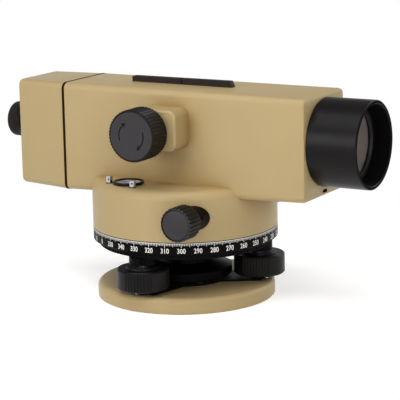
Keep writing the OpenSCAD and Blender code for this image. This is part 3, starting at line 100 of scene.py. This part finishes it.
def coated(name, hex_code, roughness, grain_mm, grain_height_mm, drift, metallic=0.0, edge_mm=0.25,
           shine=0.5, sheen=0.0, painted_shade=0.0, crevice_mm=1.0, shade_hex=ALMOST_BLACK):
    """A finish with fine surface grain, slow drift of tone and gloss, and edges softly broken.

    drift is how far the tone moves to either side.
    shine is the specular level, 0.5 for a smooth skin and less where pores swallow the gloss.
    painted_shade is how much of shade_hex is painted as shade into the grooves and corners of a piece.
    crevice_mm is how far off the walls of such a groove may stand.
    """
    material, tree, place = new_material(name)
    cloud = add(tree, "ShaderNodeTexNoise", {"Scale": per_metre(DRIFT_MM), "Detail": 3.0}, {"Vector": place})
    grain = add(tree, "ShaderNodeTexNoise", {"Scale": per_metre(grain_mm), "Detail": 2.0}, {"Vector": place})
    colour = linear(hex_code)
    tone = add(tree, "ShaderNodeMix", {"data_type": "RGBA"}, {"Factor": cloud})
    tone.inputs["A"].default_value = scaled(colour, 1 - drift)
    tone.inputs["B"].default_value = scaled(colour, 1 + drift)
    skin = tone.outputs["Result"]
    # Painted shade: in grooves and corners, where less of the sky is open, the colour is darkened towards a
    # shade colour.
    if painted_shade:
        open_sky = add(tree, "ShaderNodeAmbientOcclusion",
                       {"samples": 6, "only_local": True, "Distance": crevice_mm * MM})
        shade_amount = add(tree, "ShaderNodeMapRange", {"From Min": SHADED_BELOW, "From Max": UNSHADED_ABOVE,
                                                "To Min": painted_shade, "To Max": 0.0},
                   {"Value": open_sky.outputs["AO"]})
        shaded = add(tree, "ShaderNodeMix", {"data_type": "RGBA"}, {"Factor": shade_amount, "A": skin})
        shaded.inputs["B"].default_value = linear(shade_hex)
        skin = shaded.outputs["Result"]
    gloss = add(tree, "ShaderNodeMapRange",
                {"To Min": roughness - GLOSS_DRIFT, "To Max": roughness + GLOSS_DRIFT}, {"Value": cloud})
    soft = add(tree, "ShaderNodeBevel", {"samples": 4, "Radius": edge_mm * MM})
    bump = add(tree, "ShaderNodeBump", {"Strength": 0.6, "Distance": grain_height_mm * MM},
               {"Height": grain, "Normal": soft})
    shader = add(tree, "ShaderNodeBsdfPrincipled",
                 {"Metallic": metallic, "Specular IOR Level": shine, "Sheen Weight": sheen},
                 {"Base Color": skin, "Roughness": gloss, "Normal": bump})
    add(tree, "ShaderNodeOutputMaterial", links={"Surface": shader})
    return material


# The lathe's rings are drawn this far apart. Real ones are finer and would not show.
RING_MM = 1.5708
# A band pattern of scale 1 runs through this many radians in a metre.
WAVE_RADIANS = 20
# Patches this many millimetres across are more and less polished. Their roughness lies between these shares
# of the metal's own, and the polished ones are a little darker.
PATCH_MM = 6
POLISHED, RUBBED = 0.6, 1.5
POLISHED_TONE = 0.88


def turned(name, hex_code, roughness, axis="Z"):
    """Metal off the lathe: rings round one axis of the model, and patches that are more and less polished."""
    material, tree, place = new_material(name)
    ring_scale = 2 * math.pi * per_metre(RING_MM) / WAVE_RADIANS
    rings = add(tree, "ShaderNodeTexWave", {"wave_type": "BANDS", "bands_direction": axis,
                                            "Scale": ring_scale, "Distortion": 1.2, "Detail": 2.0},
                {"Vector": place})
    cloud = add(tree, "ShaderNodeTexNoise", {"Scale": per_metre(PATCH_MM), "Detail": 3.0}, {"Vector": place})
    gloss = add(tree, "ShaderNodeMapRange", {"To Min": roughness * POLISHED, "To Max": roughness * RUBBED},
                {"Value": cloud})
    colour = linear(hex_code)
    tone = add(tree, "ShaderNodeMix", {"data_type": "RGBA"}, {"Factor": cloud})
    tone.inputs["A"].default_value = scaled(colour, POLISHED_TONE)
    tone.inputs["B"].default_value = colour
    soft = add(tree, "ShaderNodeBevel", {"samples": 4, "Radius": 0.15 * MM})
    bump = add(tree, "ShaderNodeBump", {"Strength": 0.35, "Distance": 0.01 * MM},
               {"Height": rings, "Normal": soft})
    shader = add(tree, "ShaderNodeBsdfPrincipled", {"Metallic": 1.0},
                 {"Base Color": tone.outputs["Result"], "Roughness": gloss, "Normal": bump})
    add(tree, "ShaderNodeOutputMaterial", links={"Surface": shader})
    return material


CROWN_IOR = 1.52
VIOLET_COAT = "a79adf"
DUST_TINT = "efe4dd"
# Smears on a lens and on the level's thin window are this many millimetres across.
SMEAR_MM, THIN_SMEAR_MM = 1.5, 1.0


def optical_glass(name, tint, coat=0.4, coat_ior=1.5, coat_tint=VIOLET_COAT, dust=0.0):
    """Polished glass with a thin coating. Dust makes it milky, most of all where the light grazes it."""
    material, tree, place = new_material(name)
    film = add(tree, "ShaderNodeTexNoise", {"Scale": per_metre(SMEAR_MM), "Detail": 4.0}, {"Vector": place})
    haze = add(tree, "ShaderNodeMapRange", {"From Min": 0.45, "From Max": 0.8, "To Min": 0.0, "To Max": 0.05},
               {"Value": film})
    shader = add(tree, "ShaderNodeBsdfPrincipled",
                 {"Base Color": linear(tint), "IOR": CROWN_IOR, "Transmission Weight": 1.0 - 0.4 * dust,
                  "Coat Weight": coat, "Coat Roughness": 0.03, "Coat IOR": coat_ior,
                  "Coat Tint": linear(coat_tint), "Sheen Weight": dust, "Sheen Roughness": 0.35,
                  "Sheen Tint": linear(DUST_TINT)}, {"Roughness": haze})
    add(tree, "ShaderNodeOutputMaterial", links={"Surface": shader})
    return material


def thin_window(name, hex_code, cover):
    """A pane or bubble that light passes straight through.

    cover is the share that it hides of what lies under it.
    """
    material, tree, place = new_material(name)
    film = add(tree, "ShaderNodeTexNoise", {"Scale": per_metre(THIN_SMEAR_MM), "Detail": 3.0},
               {"Vector": place})
    haze = add(tree, "ShaderNodeMapRange", {"To Min": 0.04, "To Max": 0.14}, {"Value": film})
    shader = add(tree, "ShaderNodeBsdfPrincipled", {"Base Color": linear(hex_code), "Alpha": cover},
                 {"Roughness": haze})
    add(tree, "ShaderNodeOutputMaterial", links={"Surface": shader})
    return material


# Finishes of this instrument

# Stoved enamel on cast aluminium: satin, with the faint orange peel of sprayed paint, and warm brown painted
# shade in its corners.
tan_enamel = coated("tan_enamel", "b9a274", 0.4, 0.9, 0.02, drift=0.03, edge_mm=0.5, shine=0.27,
                    painted_shade=0.9, crevice_mm=22, shade_hex="97763c")
# The same enamel in black, on tubes and turned pieces: a broad soft line of light along them, painted shade
# in their corners.
black_enamel = coated("black_enamel", "110e0e", 0.34, 0.6, 0.012, drift=0.12, edge_mm=0.3, shine=0.15,
                      painted_shade=0.7, crevice_mm=4.0)
# Moulded acetal: dull black with the fine sparked grain of the mould, and painted shade between its ribs.
knob_plastic = coated("moulded_acetal", "131111", 0.38, 0.35, 0.02, drift=0.10, shine=0.15,
                      painted_shade=0.9, crevice_mm=1.2)
# The same acetal painted lighter grey where the knobs' faces take the light: painted light.
painted_light_acetal = coated("acetal_painted_lighter", "363436", 0.45, 0.3, 0.012, drift=0.06, edge_mm=0.3, shine=0.2)
# Nylon of the sight bars, faded by the sun to a brownish black.
faded_nylon = coated("faded_nylon", "2a2421", 0.6, 0.3, 0.02, drift=0.12, edge_mm=0.3, shine=0.15)
# Black anodised aluminium under dull lacquer: the deepest black, almost without gloss, with painted shade in
# its corners. The tribrach head, spring plate and worm bushes take it as painted shade, for they lie in the
# circle's shade. It also draws the level's ring and the painted dark edge of its bubble.
dull_black_and_shade = coated("dull_black_and_painted_shade", "080707", 0.4, 0.3, 0.008, drift=0.10, edge_mm=0.2, shine=0.05,
                      painted_shade=0.8, crevice_mm=2.0)
# Soft rubber of the eyecup and of the circle's friction washer: no gloss, a bloom of dust.
eyecup_rubber = coated("eyecup_rubber", "1d1a19", 0.78, 0.5, 0.03, drift=0.12, sheen=0.1, shine=0.15)
# Foam rubber of the seam's gasket: dark brown and open-pored.
gasket_rubber = coated("gasket_rubber", "2a160c", 0.85, 0.4, 0.04, drift=0.15, shine=0.05)
# Dead black paint on the plug in the front face and inside optical housings, where stray light dies in it.
optical_black = coated("optical_black", "0c0b0b", 0.9, 0.25, 0.03, drift=0.2, shine=0.05)
# Grey anodised aluminium, faintly grained by the etch.
grey_anodised = coated("grey_anodised", "4a484b", 0.4, 0.25, 0.01, drift=0.06, metallic=0.75, edge_mm=0.3)
# Chromed and polished steel of screws, spindles and posts: bright, with dark reflections.
turned_steel = turned("turned_steel", "c9cacc", 0.16)
# Spring steel, blued by its heat treatment and only half bright.
spring_steel = turned("spring_steel", "6c6e74", 0.34, "X")
# Leaded bronze of bushes: turned, brown and a little dull.
bearing_bronze = turned("bearing_bronze", "b07f48", 0.35)
# Brass of the footscrews' bushes, given an almost black colour.
near_black_brass = coated("near_black_brass", "120e0a", 0.6, 0.3, 0.01, drift=0.15, metallic=0.2, shine=0.1)
# Clean brass of the nut and the worm wheel: yellow and bright.
turned_brass = turned("turned_brass", "cda14f", 0.25)
# Pale lacquer under the level's window, which gives the level its light grey.
vial_lacquer = coated("vial_lacquer", "d2ccd6", 0.5, 0.3, 0.01, drift=0.03, shine=0.2)
# Hard white filling of the engraved degree lines and figures.
scale_white = coated("engraving_white", "f0eee8", 0.6, 0.2, 0.01, drift=0.03, edge_mm=0.05)
# Coated lens glass: clear, with a violet cast in its coating.
lens_glass = optical_glass("coated_lens_glass", "f4f7f6")
# The front lens has a film of dust, which looks pale grey from the side.
front_glass = optical_glass("dusty_lens_glass", "f6efe8", coat=1.0, coat_ior=2.0, coat_tint="d8cdc8",
                            dust=0.8)
# The bubble of the level: a pale body in the spirit.
bubble_air = thin_window("level_bubble_air", "f2f6ee", 0.45)
# The level's window: clear glass with a faint bloom.
level_window = thin_window("level_window", "e6e2ea", 0.3)
# Plain uncoated glass of the reticle.
plain_glass = optical_glass("plain_glass", "f6f8f7", coat=0.0)
# Glass of the compensator's prisms, a trace greener for its thickness.
prism_glass = optical_glass("prism_glass", "eef4f2")

finishes = {
    tan_enamel: ["base_plate", "main_housing", "rear_housing"],
    # Painted shade: the tribrach head, spring plate and worm bushes take the deepest black because they lie
    # in the circle's shade.
    dull_black_and_shade: ["graduated_ring", "tribrach_head", "spring_plate", "worm_bushes"],
    black_enamel: ["drum_cover", "objective_hood", "objective_cell", "level_cup", "level_bezel",
                   "eyepiece_tube"],
    knob_plastic: ["foot_knob_1", "foot_knob_2", "foot_knob_3", "focus_knob", "tangent_knobs",
                   "dioptre_ring"],
    # Painted light: the caps of the tangent knobs are lighter grey, as the light on their faces.
    painted_light_acetal: ["tangent_caps"],
    faded_nylon: ["sight_bars"],
    optical_black: ["front_plug"],
    eyecup_rubber: ["eyecup", "ring_friction_washer"],
    gasket_rubber: ["seam_gasket"],
    grey_anodised: ["lens_retaining_ring", "focus_tube", "reticle_plate", "compensator_frame",
                    "pendulum_frame", "eye_cell", "focus_cell"],
    turned_steel: ["foot_screw_1", "foot_screw_2", "foot_screw_3", "spring_plate_screws", "housing_screws",
                   "drum_cover_screws", "vertical_spindle", "level_screws", "reticle_screws", "pinion_shaft",
                   "worm_shaft"],
    spring_steel: ["suspension_wires", "damping_magnets", "clutch_spring"],
    bearing_bronze: ["axis_bush", "pinion_bush"],
    near_black_brass: ["foot_bushes"],
    turned_brass: ["spindle_nut", "worm_wheel"],
    front_glass: ["crown_lens"],
    lens_glass: ["flint_lens", "focus_lens", "eye_lens"],
    plain_glass: ["reticle_glass"],
    level_window: ["level_vial"],
    prism_glass: ["fixed_prism", "pendulum_prism"],
}
for finish, names in finishes.items():
    for name in names:
        parts[name].data.materials.clear()
        parts[name].data.materials.append(finish)


def paint_where(name, finish, chosen):
    """Gives a second finish to the faces of a node for which chosen(centre in mm, normal) holds."""
    mesh = parts[name].data
    mesh.materials.append(finish)
    for face in mesh.polygons:
        if chosen(face.center / MM, face.normal):
            face.material_index = 1


def within(centre, half_width, bottom, top):
    """True between two heights and this near to the middle plane."""
    return abs(centre.y) < half_width and bottom < centre.z < top


# The inside of the telescope's box: its middle height, and the half width, bottom and top within which its
# side walls and its end walls lie.
BOX_MIDDLE_Z = 100
SIDES_WITHIN = (25, 68, 128.5)
ENDS_WITHIN = (24, 70, 128)


def looks_inward(centre, normal):
    """True inside the telescope's box, above the drum and behind the front wall."""
    if abs(normal.x) > 0.9 and centre.x * normal.x < 0 and within(centre, *ENDS_WITHIN):
        return True
    to_face = Vector((0, centre.y, centre.z - BOX_MIDDLE_Z))
    return within(centre, *SIDES_WITHIN) and to_face.dot(normal) < 0


paint_where("main_housing", optical_black, looks_inward)
paint_where("rear_housing", optical_black, looks_inward)

# The bore of the hood and the face of its rim are dead black, all but the rim's outer edge.
HOOD_BORE_R, HOOD_RIM_R = 24.1, 26
paint_where("objective_hood", optical_black,
            lambda centre, normal: math.hypot(centre.y, centre.z - SIGHT_Z)
            < (HOOD_RIM_R if normal.x > 0.9 else HOOD_BORE_R))
# The vial is lacquered below and round its side, and clear on top.
paint_where("level_vial", vial_lacquer, lambda centre, normal: normal.z < 0.5)

# The face of the focusing knob, which lies beyond this in -Y, is painted lighter grey out to this radius as
# painted light. Its edge and the arrows cut 0.4 mm deep in it are not.
FOCUS_AXIS = Vector((-0.3, 0, 107.7))
FOCUS_FACE_Y, FOCUS_LIT_R = -60.45, 14.9
# On the tangent knobs the rim outside the groove round the cap gets this painted light too, no deeper than
# this.
TANGENT_GROOVE_R, TANGENT_RIM_DEPTH = 8.9, 2
tangent_low, tangent_high = (Vector(corner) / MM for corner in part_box("tangent_caps"))
TANGENT_AXIS = (tangent_low + tangent_high) / 2


def knob_radius(centre, axis):
    """Distance from the axis of a knob, which lies along Y."""
    return math.hypot(centre.x - axis.x, centre.z - axis.z)


# The knob faces chosen here get the lighter grey of painted light.
paint_where("focus_knob", painted_light_acetal,
            lambda centre, normal: normal.y < -0.9 and centre.y < FOCUS_FACE_Y
            and knob_radius(centre, FOCUS_AXIS) < FOCUS_LIT_R)
paint_where("tangent_knobs", painted_light_acetal,
            lambda centre, normal: abs(normal.y) > 0.5 and abs(centre.y) > tangent_high.y - TANGENT_RIM_DEPTH
            and knob_radius(centre, TANGENT_AXIS) > TANGENT_GROOVE_R)

# CAD surfaces come as separate patches: corners this close are joined, and only edges sharper than this
# angle stay sharp.
SAME_CORNER = 0.001
SHARP_ABOVE = math.radians(28)
shading = bpy.data.node_groups.new("sharp_edges_only", "GeometryNodeTree")
shading.interface.new_socket("Geometry", in_out="INPUT", socket_type="NodeSocketGeometry")
shading.interface.new_socket("Geometry", in_out="OUTPUT", socket_type="NodeSocketGeometry")
patches = add(shading, "NodeGroupInput")
joined = add(shading, "GeometryNodeMergeByDistance", {"Distance": SAME_CORNER * MM}, {"Geometry": patches})
smooth = add(shading, "GeometryNodeSetShadeSmooth", {"domain": "FACE", "Shade Smooth": True},
             {"Geometry": joined})
angle = add(shading, "GeometryNodeInputMeshEdgeAngle")
is_edge = add(shading, "FunctionNodeCompare", {"data_type": "FLOAT", "operation": "GREATER_THAN",
                                               "B": SHARP_ABOVE}, {"A": angle.outputs["Unsigned Angle"]})
creased = add(shading, "GeometryNodeSetShadeSmooth", {"domain": "EDGE", "Shade Smooth": False},
              {"Geometry": smooth, "Selection": is_edge})
add(shading, "NodeGroupOutput", links={"Geometry": creased})
for part in parts.values():
    part.modifiers.new("sharp_edges_only", "NODES").node_group = shading


# Pieces made here

def piece(name, vertices, faces, body, material, smooth=False):
    """A new mesh piece that rides on a body."""
    mesh = bpy.data.meshes.new(name)
    mesh.from_pydata(vertices, [], faces)
    mesh.validate()
    for face in mesh.polygons:
        face.use_smooth = smooth
    mesh.materials.append(material)
    thing = bpy.data.objects.new(name, mesh)
    scene.collection.objects.link(thing)
    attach(thing, body)


def loft(rings, count):
    """Faces between neighbouring rings of count points each, the last ring joined to the first."""
    skin = []
    for k in range(rings):
        here, there = k * count, (k + 1) % rings * count
        for i in range(count):
            j = (i + 1) % count
            skin.append((here + i, here + j, there + j, there + i))
    return skin


# The divided circle: the band's radius, the top of its lines, the foot and height of its figures, and the
# bearing of its zero in degrees from -Y towards +X.
BAND_R = 57.0
SCALE_TOP = 43.75
FIGURE_BASE, FIGURE_HEIGHT = 37.95, 2.9
BEARING_OF_ZERO = 327.4
# The white filling stands this proud of the band.
PAINT_PROUD = 0.02
# Lengths of the lines at every ten degrees, at the fives between them and at all the others.
TEN_LINE, FIVE_LINE, DEGREE_LINE = 2.2, 1.8, 1.25
LINE_HALF_WIDTH = 0.19
# Each degree also has its stretch of the white line that runs round the top.
EDGE_HALF_WIDTH, EDGE_BELOW, EDGE_ABOVE = 0.5, 0.15, 0.22
# A figure of the default typeface is this share of the text's size in height. Here it is narrower, set a
# little wider apart, and bolder by this share of its height.
FIGURE_SHARE, FIGURE_NARROWING, FIGURE_SPACING, FIGURE_BOLDER = 0.7, 0.8, 1.05, 0.03


def flat_figures(text, height):
    """Vertices and faces of a number, standing on y = 0 and centred on x = 0, height tall."""
    curve = bpy.data.curves.new("figures", "FONT")
    curve.body = text
    curve.size = height / FIGURE_SHARE
    curve.align_x = "CENTER"
    curve.space_character = FIGURE_SPACING
    curve.offset = height * FIGURE_BOLDER
    holder = bpy.data.objects.new("figures", curve)
    scene.collection.objects.link(holder)
    graph = bpy.context.evaluated_depsgraph_get()
    mesh = holder.evaluated_get(graph).to_mesh()
    vertices = [tuple(v.co) for v in mesh.vertices]
    faces = [tuple(f.vertices) for f in mesh.polygons]
    bpy.data.objects.remove(holder)
    bpy.data.curves.remove(curve)
    return vertices, faces


def on_band(bearing_deg, along, z):
    """A point on the band: along is millimetres to the right of the bearing, seen from outside."""
    a = math.radians(bearing_deg) + along / BAND_R
    r = (BAND_R + PAINT_PROUD) * MM
    return (r * math.sin(a), -r * math.cos(a), z * MM)


scale_points, scale_faces = [], []


def band_patch(bearing_deg, half_width, bottom, top):
    """A white patch on the band."""
    start = len(scale_points)
    scale_points.extend(on_band(bearing_deg, x, z) for x, z in
                        [(-half_width, bottom), (half_width, bottom), (half_width, top), (-half_width, top)])
    scale_faces.append((start, start + 1, start + 2, start + 3))


for degree in range(360):
    bearing = BEARING_OF_ZERO - degree
    length = TEN_LINE if degree % 10 == 0 else FIVE_LINE if degree % 5 == 0 else DEGREE_LINE
    band_patch(bearing, LINE_HALF_WIDTH, SCALE_TOP - length, SCALE_TOP)
    band_patch(bearing, EDGE_HALF_WIDTH, SCALE_TOP - EDGE_BELOW, SCALE_TOP + EDGE_ABOVE)
for degree in range(0, 360, 10):
    shape, polygons = flat_figures(str(degree), FIGURE_HEIGHT)
    start = len(scale_points)
    scale_points.extend(on_band(BEARING_OF_ZERO - degree, x * FIGURE_NARROWING, FIGURE_BASE + y)
                        for x, y, _ in shape)
    scale_faces.extend(tuple(start + i for i in polygon) for polygon in polygons)
piece("degree_scale", scale_points, scale_faces, "circle", scale_white)

# The level: a ring on its glass in which the bubble is centred, the bubble, and a painted dark ring round it.
vial_low, vial_high = (Vector(corner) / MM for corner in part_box("level_vial"))
VIAL = (vial_low + vial_high) / 2
VIAL_TOP = vial_high.z
RING_R_IN, RING_R_OUT, RING_HEIGHT = 3.1, 3.45, 0.03
BUBBLE_R, BUBBLE_BOTTOM, BUBBLE_TOP, BUBBLE_SAG = 2.3, VIAL_TOP - 1.1, VIAL_TOP - 0.25, 0.5
MENISCUS_R, MENISCUS_Z, SECTION_R = 2.35, VIAL_TOP - 0.95, 0.16
STEPS_ROUND, DOME_STEPS, MENISCUS_SIDES = 96, 8, 8
# The bubble's section starts this near its axis, so that its faces keep four corners.
NEAR_AXIS = 0.01


def revolved(name, profile, material, smooth):
    """A piece on the level from a closed profile of (radius, height), turned round the vial's axis."""
    points = []
    for k in range(STEPS_ROUND):
        a = 2 * math.pi * k / STEPS_ROUND
        points += [((VIAL.x + r * math.cos(a)) * MM, (VIAL.y + r * math.sin(a)) * MM, z * MM)
                   for r, z in profile]
    piece(name, points, loft(STEPS_ROUND, len(profile)), "alidade", material, smooth)


revolved("level_target_ring",
         [(RING_R_IN, VIAL_TOP), (RING_R_OUT, VIAL_TOP),
          (RING_R_OUT, VIAL_TOP + RING_HEIGHT), (RING_R_IN, VIAL_TOP + RING_HEIGHT)],
         dull_black_and_shade, False)
slopes = [math.pi / 2 * t / DOME_STEPS for t in range(DOME_STEPS, 0, -1)]
dome = [(BUBBLE_R * math.sin(a), BUBBLE_TOP - BUBBLE_SAG * (1 - math.cos(a))) for a in slopes]
revolved("level_bubble",
         [(NEAR_AXIS, BUBBLE_BOTTOM), (BUBBLE_R, BUBBLE_BOTTOM)] + dome + [(NEAR_AXIS, BUBBLE_TOP)],
         bubble_air, True)
# The dark ring round the bubble is painted shade, where the bubble's curved edge turns the light away.
turns = [2 * math.pi * t / MENISCUS_SIDES for t in range(MENISCUS_SIDES)]
section = [(MENISCUS_R + SECTION_R * math.cos(a), MENISCUS_Z + SECTION_R * math.sin(a)) for a in turns]
revolved("level_meniscus", section, dull_black_and_shade, True)


def outline_of(name):
    """Outer outline of a node seen along X, as (y, z) in mm, and its middle in X."""
    points = sorted({(round(v.co.y / MM, 4), round(v.co.z / MM, 4)) for v in parts[name].data.vertices})

    def half(ordered):
        chain = []
        for p in ordered:
            while len(chain) > 1 and ((chain[-1][0] - chain[-2][0]) * (p[1] - chain[-2][1])
                                      - (chain[-1][1] - chain[-2][1]) * (p[0] - chain[-2][0])) <= 0:
                chain.pop()
            chain.append(p)
        return chain[:-1]

    low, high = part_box(name)
    return half(points) + half(points[::-1]), (low[0] + high[0]) / 2 / MM


# The lip of the gasket, which the two housings squeeze out of their seam: how far the gasket itself lies
# back from the wall, and the lip's section along X and out of the wall.
GASKET_BACK = 0.5
LIP = [(-0.9, -0.02), (-0.82, 0.08), (-0.45, 0.16), (0, 0.2), (0.45, 0.16), (0.82, 0.08), (0.9, -0.02),
       (0.39, -0.03), (0.39, -0.48), (-0.39, -0.48), (-0.39, -0.03)]
loop, seam_x = outline_of("seam_gasket")
lip_points = []
for k, (y, z) in enumerate(loop):
    before, after = Vector(loop[k - 1]), Vector(loop[(k + 1) % len(loop)])
    along = (after - before).normalized()
    for x, rise in LIP:
        reach = GASKET_BACK + rise
        lip_points.append(((seam_x + x) * MM, (y + along.y * reach) * MM, (z - along.x * reach) * MM))
piece("seam_gasket_lip", lip_points, loft(len(loop), len(LIP)), "alidade", gasket_rubber,
      smooth=True)


# Floor, backdrop and light

WHITE = linear("ffffff")


def shown(tree):
    """1 for rays that show the backdrop, seen straight, off a gloss or through glass, 0 for all others."""
    rays = add(tree, "ShaderNodeLightPath")
    seen = add(tree, "ShaderNodeMath", {"operation": "MAXIMUM"},
               {0: rays.outputs["Is Camera Ray"], 1: rays.outputs["Is Glossy Ray"]})
    return add(tree, "ShaderNodeMath", {"operation": "MAXIMUM"},
               {0: seen, 1: rays.outputs["Is Transmission Ray"]})


# Between these distances from the middle the floor passes over into the white backdrop.
FLOOR_FADE_FROM, FLOOR_FADE_TO = 0.08, 0.24
FLOOR_REACH = 6.0
# The floor lies this far under the object, so that the two never share a plane.
FLOOR_DROP = 0.0002

floor_material, tree, place = new_material("studio_floor")
shade = add(tree, "ShaderNodeBsdfDiffuse", {"Color": linear("f2f2f2")})
glow = add(tree, "ShaderNodeEmission", {"Color": WHITE, "Strength": 0.5})
white = add(tree, "ShaderNodeEmission", {"Color": WHITE, "Strength": 1.0})
distance = add(tree, "ShaderNodeVectorMath", {"operation": "LENGTH"}, {0: place}).outputs["Value"]
fade = add(tree, "ShaderNodeMapRange", {"From Min": FLOOR_FADE_FROM, "From Max": FLOOR_FADE_TO},
           {"Value": distance})
lit = add(tree, "ShaderNodeAddShader", links={0: shade, 1: glow})
faded = add(tree, "ShaderNodeMixShader", links={0: fade, 1: lit, 2: white})
mixed = add(tree, "ShaderNodeMixShader", links={0: shown(tree), 1: shade, 2: faded})
add(tree, "ShaderNodeOutputMaterial", links={"Surface": mixed})
floor_mesh = bpy.data.meshes.new("studio_floor")
floor_corners = [(x * FLOOR_REACH, y * FLOOR_REACH, 0) for x, y in [(-1, -1), (1, -1), (1, 1), (-1, 1)]]
floor_mesh.from_pydata(floor_corners, [], [(0, 1, 2, 3)])
floor_mesh.materials.append(floor_material)
floor = bpy.data.objects.new("studio_floor", floor_mesh)
floor.location.z = -FLOOR_DROP
scene.collection.objects.link(floor)

# The backdrop is white round the horizon. Between these heights of the view it dims to the studio's ceiling.
CEILING_FROM, CEILING_FULL, CEILING_DIM = 0.1, 0.3, 0.25
world = bpy.data.worlds.new("studio")
scene.world = world
world.use_nodes = True
tree = world.node_tree
tree.nodes.clear()
ambient = add(tree, "ShaderNodeBackground", {"Color": WHITE, "Strength": 0.12})
direction = add(tree, "ShaderNodeTexCoord").outputs["Generated"]
height = add(tree, "ShaderNodeSeparateXYZ", links={"Vector": direction}).outputs["Z"]
ceiling = add(tree, "ShaderNodeMapRange", {"From Min": CEILING_FROM, "From Max": CEILING_FULL,
                                           "To Min": 1.0, "To Max": CEILING_DIM}, {"Value": height})
backdrop = add(tree, "ShaderNodeBackground", {"Color": WHITE}, {"Strength": ceiling})
sky = add(tree, "ShaderNodeMixShader", links={0: shown(tree), 1: ambient, 2: backdrop})
add(tree, "ShaderNodeOutputWorld", links={"Surface": sky})

LIT_POINT = Vector((0, 0, 0.09))


def softbox(name, place, width, height, watts):
    """A rectangular area lamp that looks at the middle of the instrument."""
    lamp = bpy.data.lights.new(name, "AREA")
    lamp.shape = "RECTANGLE"
    lamp.size, lamp.size_y = width, height
    lamp.energy = watts
    holder = bpy.data.objects.new(name, lamp)
    holder.location = place
    holder.rotation_euler = (LIT_POINT - Vector(place)).to_track_quat("-Z", "Y").to_euler()
    scene.collection.objects.link(holder)


softbox("key", (-0.50, -1.35, 0.52), 0.8, 0.6, 6.6)
softbox("fill", (1.0, -1.0, 0.58), 0.7, 0.7, 4.8)
softbox("top", (0.05, -0.5, 1.25), 1.3, 1.0, 11.6)
softbox("back", (0.75, 1.1, 0.65), 0.8, 0.6, 6)


# Camera

# The photograph's camera, found by fitting the base, drum, hood and roof edges. Its lens and sensor are in
# millimetres.
AZIMUTH, ELEVATION, ROLL = math.radians(29.8), math.radians(11.85), math.radians(-1.13)
DISTANCE, AIM_RIGHT, AIM_UP = 1.10097, 0.00921, 0.05808
LENS, SENSOR = 160.4, 36
forward = -Vector((math.sin(AZIMUTH) * math.cos(ELEVATION), -math.cos(AZIMUTH) * math.cos(ELEVATION),
                   math.sin(ELEVATION)))
right = Vector((math.cos(AZIMUTH), math.sin(AZIMUTH), 0))
up = right.cross(forward)
aim = right * AIM_RIGHT + Vector((0, 0, AIM_UP))
right_rolled = right * math.cos(ROLL) + up * math.sin(ROLL)
up_rolled = up * math.cos(ROLL) - right * math.sin(ROLL)
turn = Matrix((right_rolled, up_rolled, -forward)).transposed()
lens = bpy.data.cameras.new("photo_camera")
lens.sensor_width = SENSOR
lens.lens = LENS
lens.clip_start, lens.clip_end = 0.05, 20
camera = bpy.data.objects.new("photo_camera", lens)
camera.matrix_world = Matrix.Translation(aim - forward * DISTANCE) @ turn.to_4x4()
scene.collection.objects.link(camera)
scene.camera = camera
scene.view_settings.view_transform = "Standard"
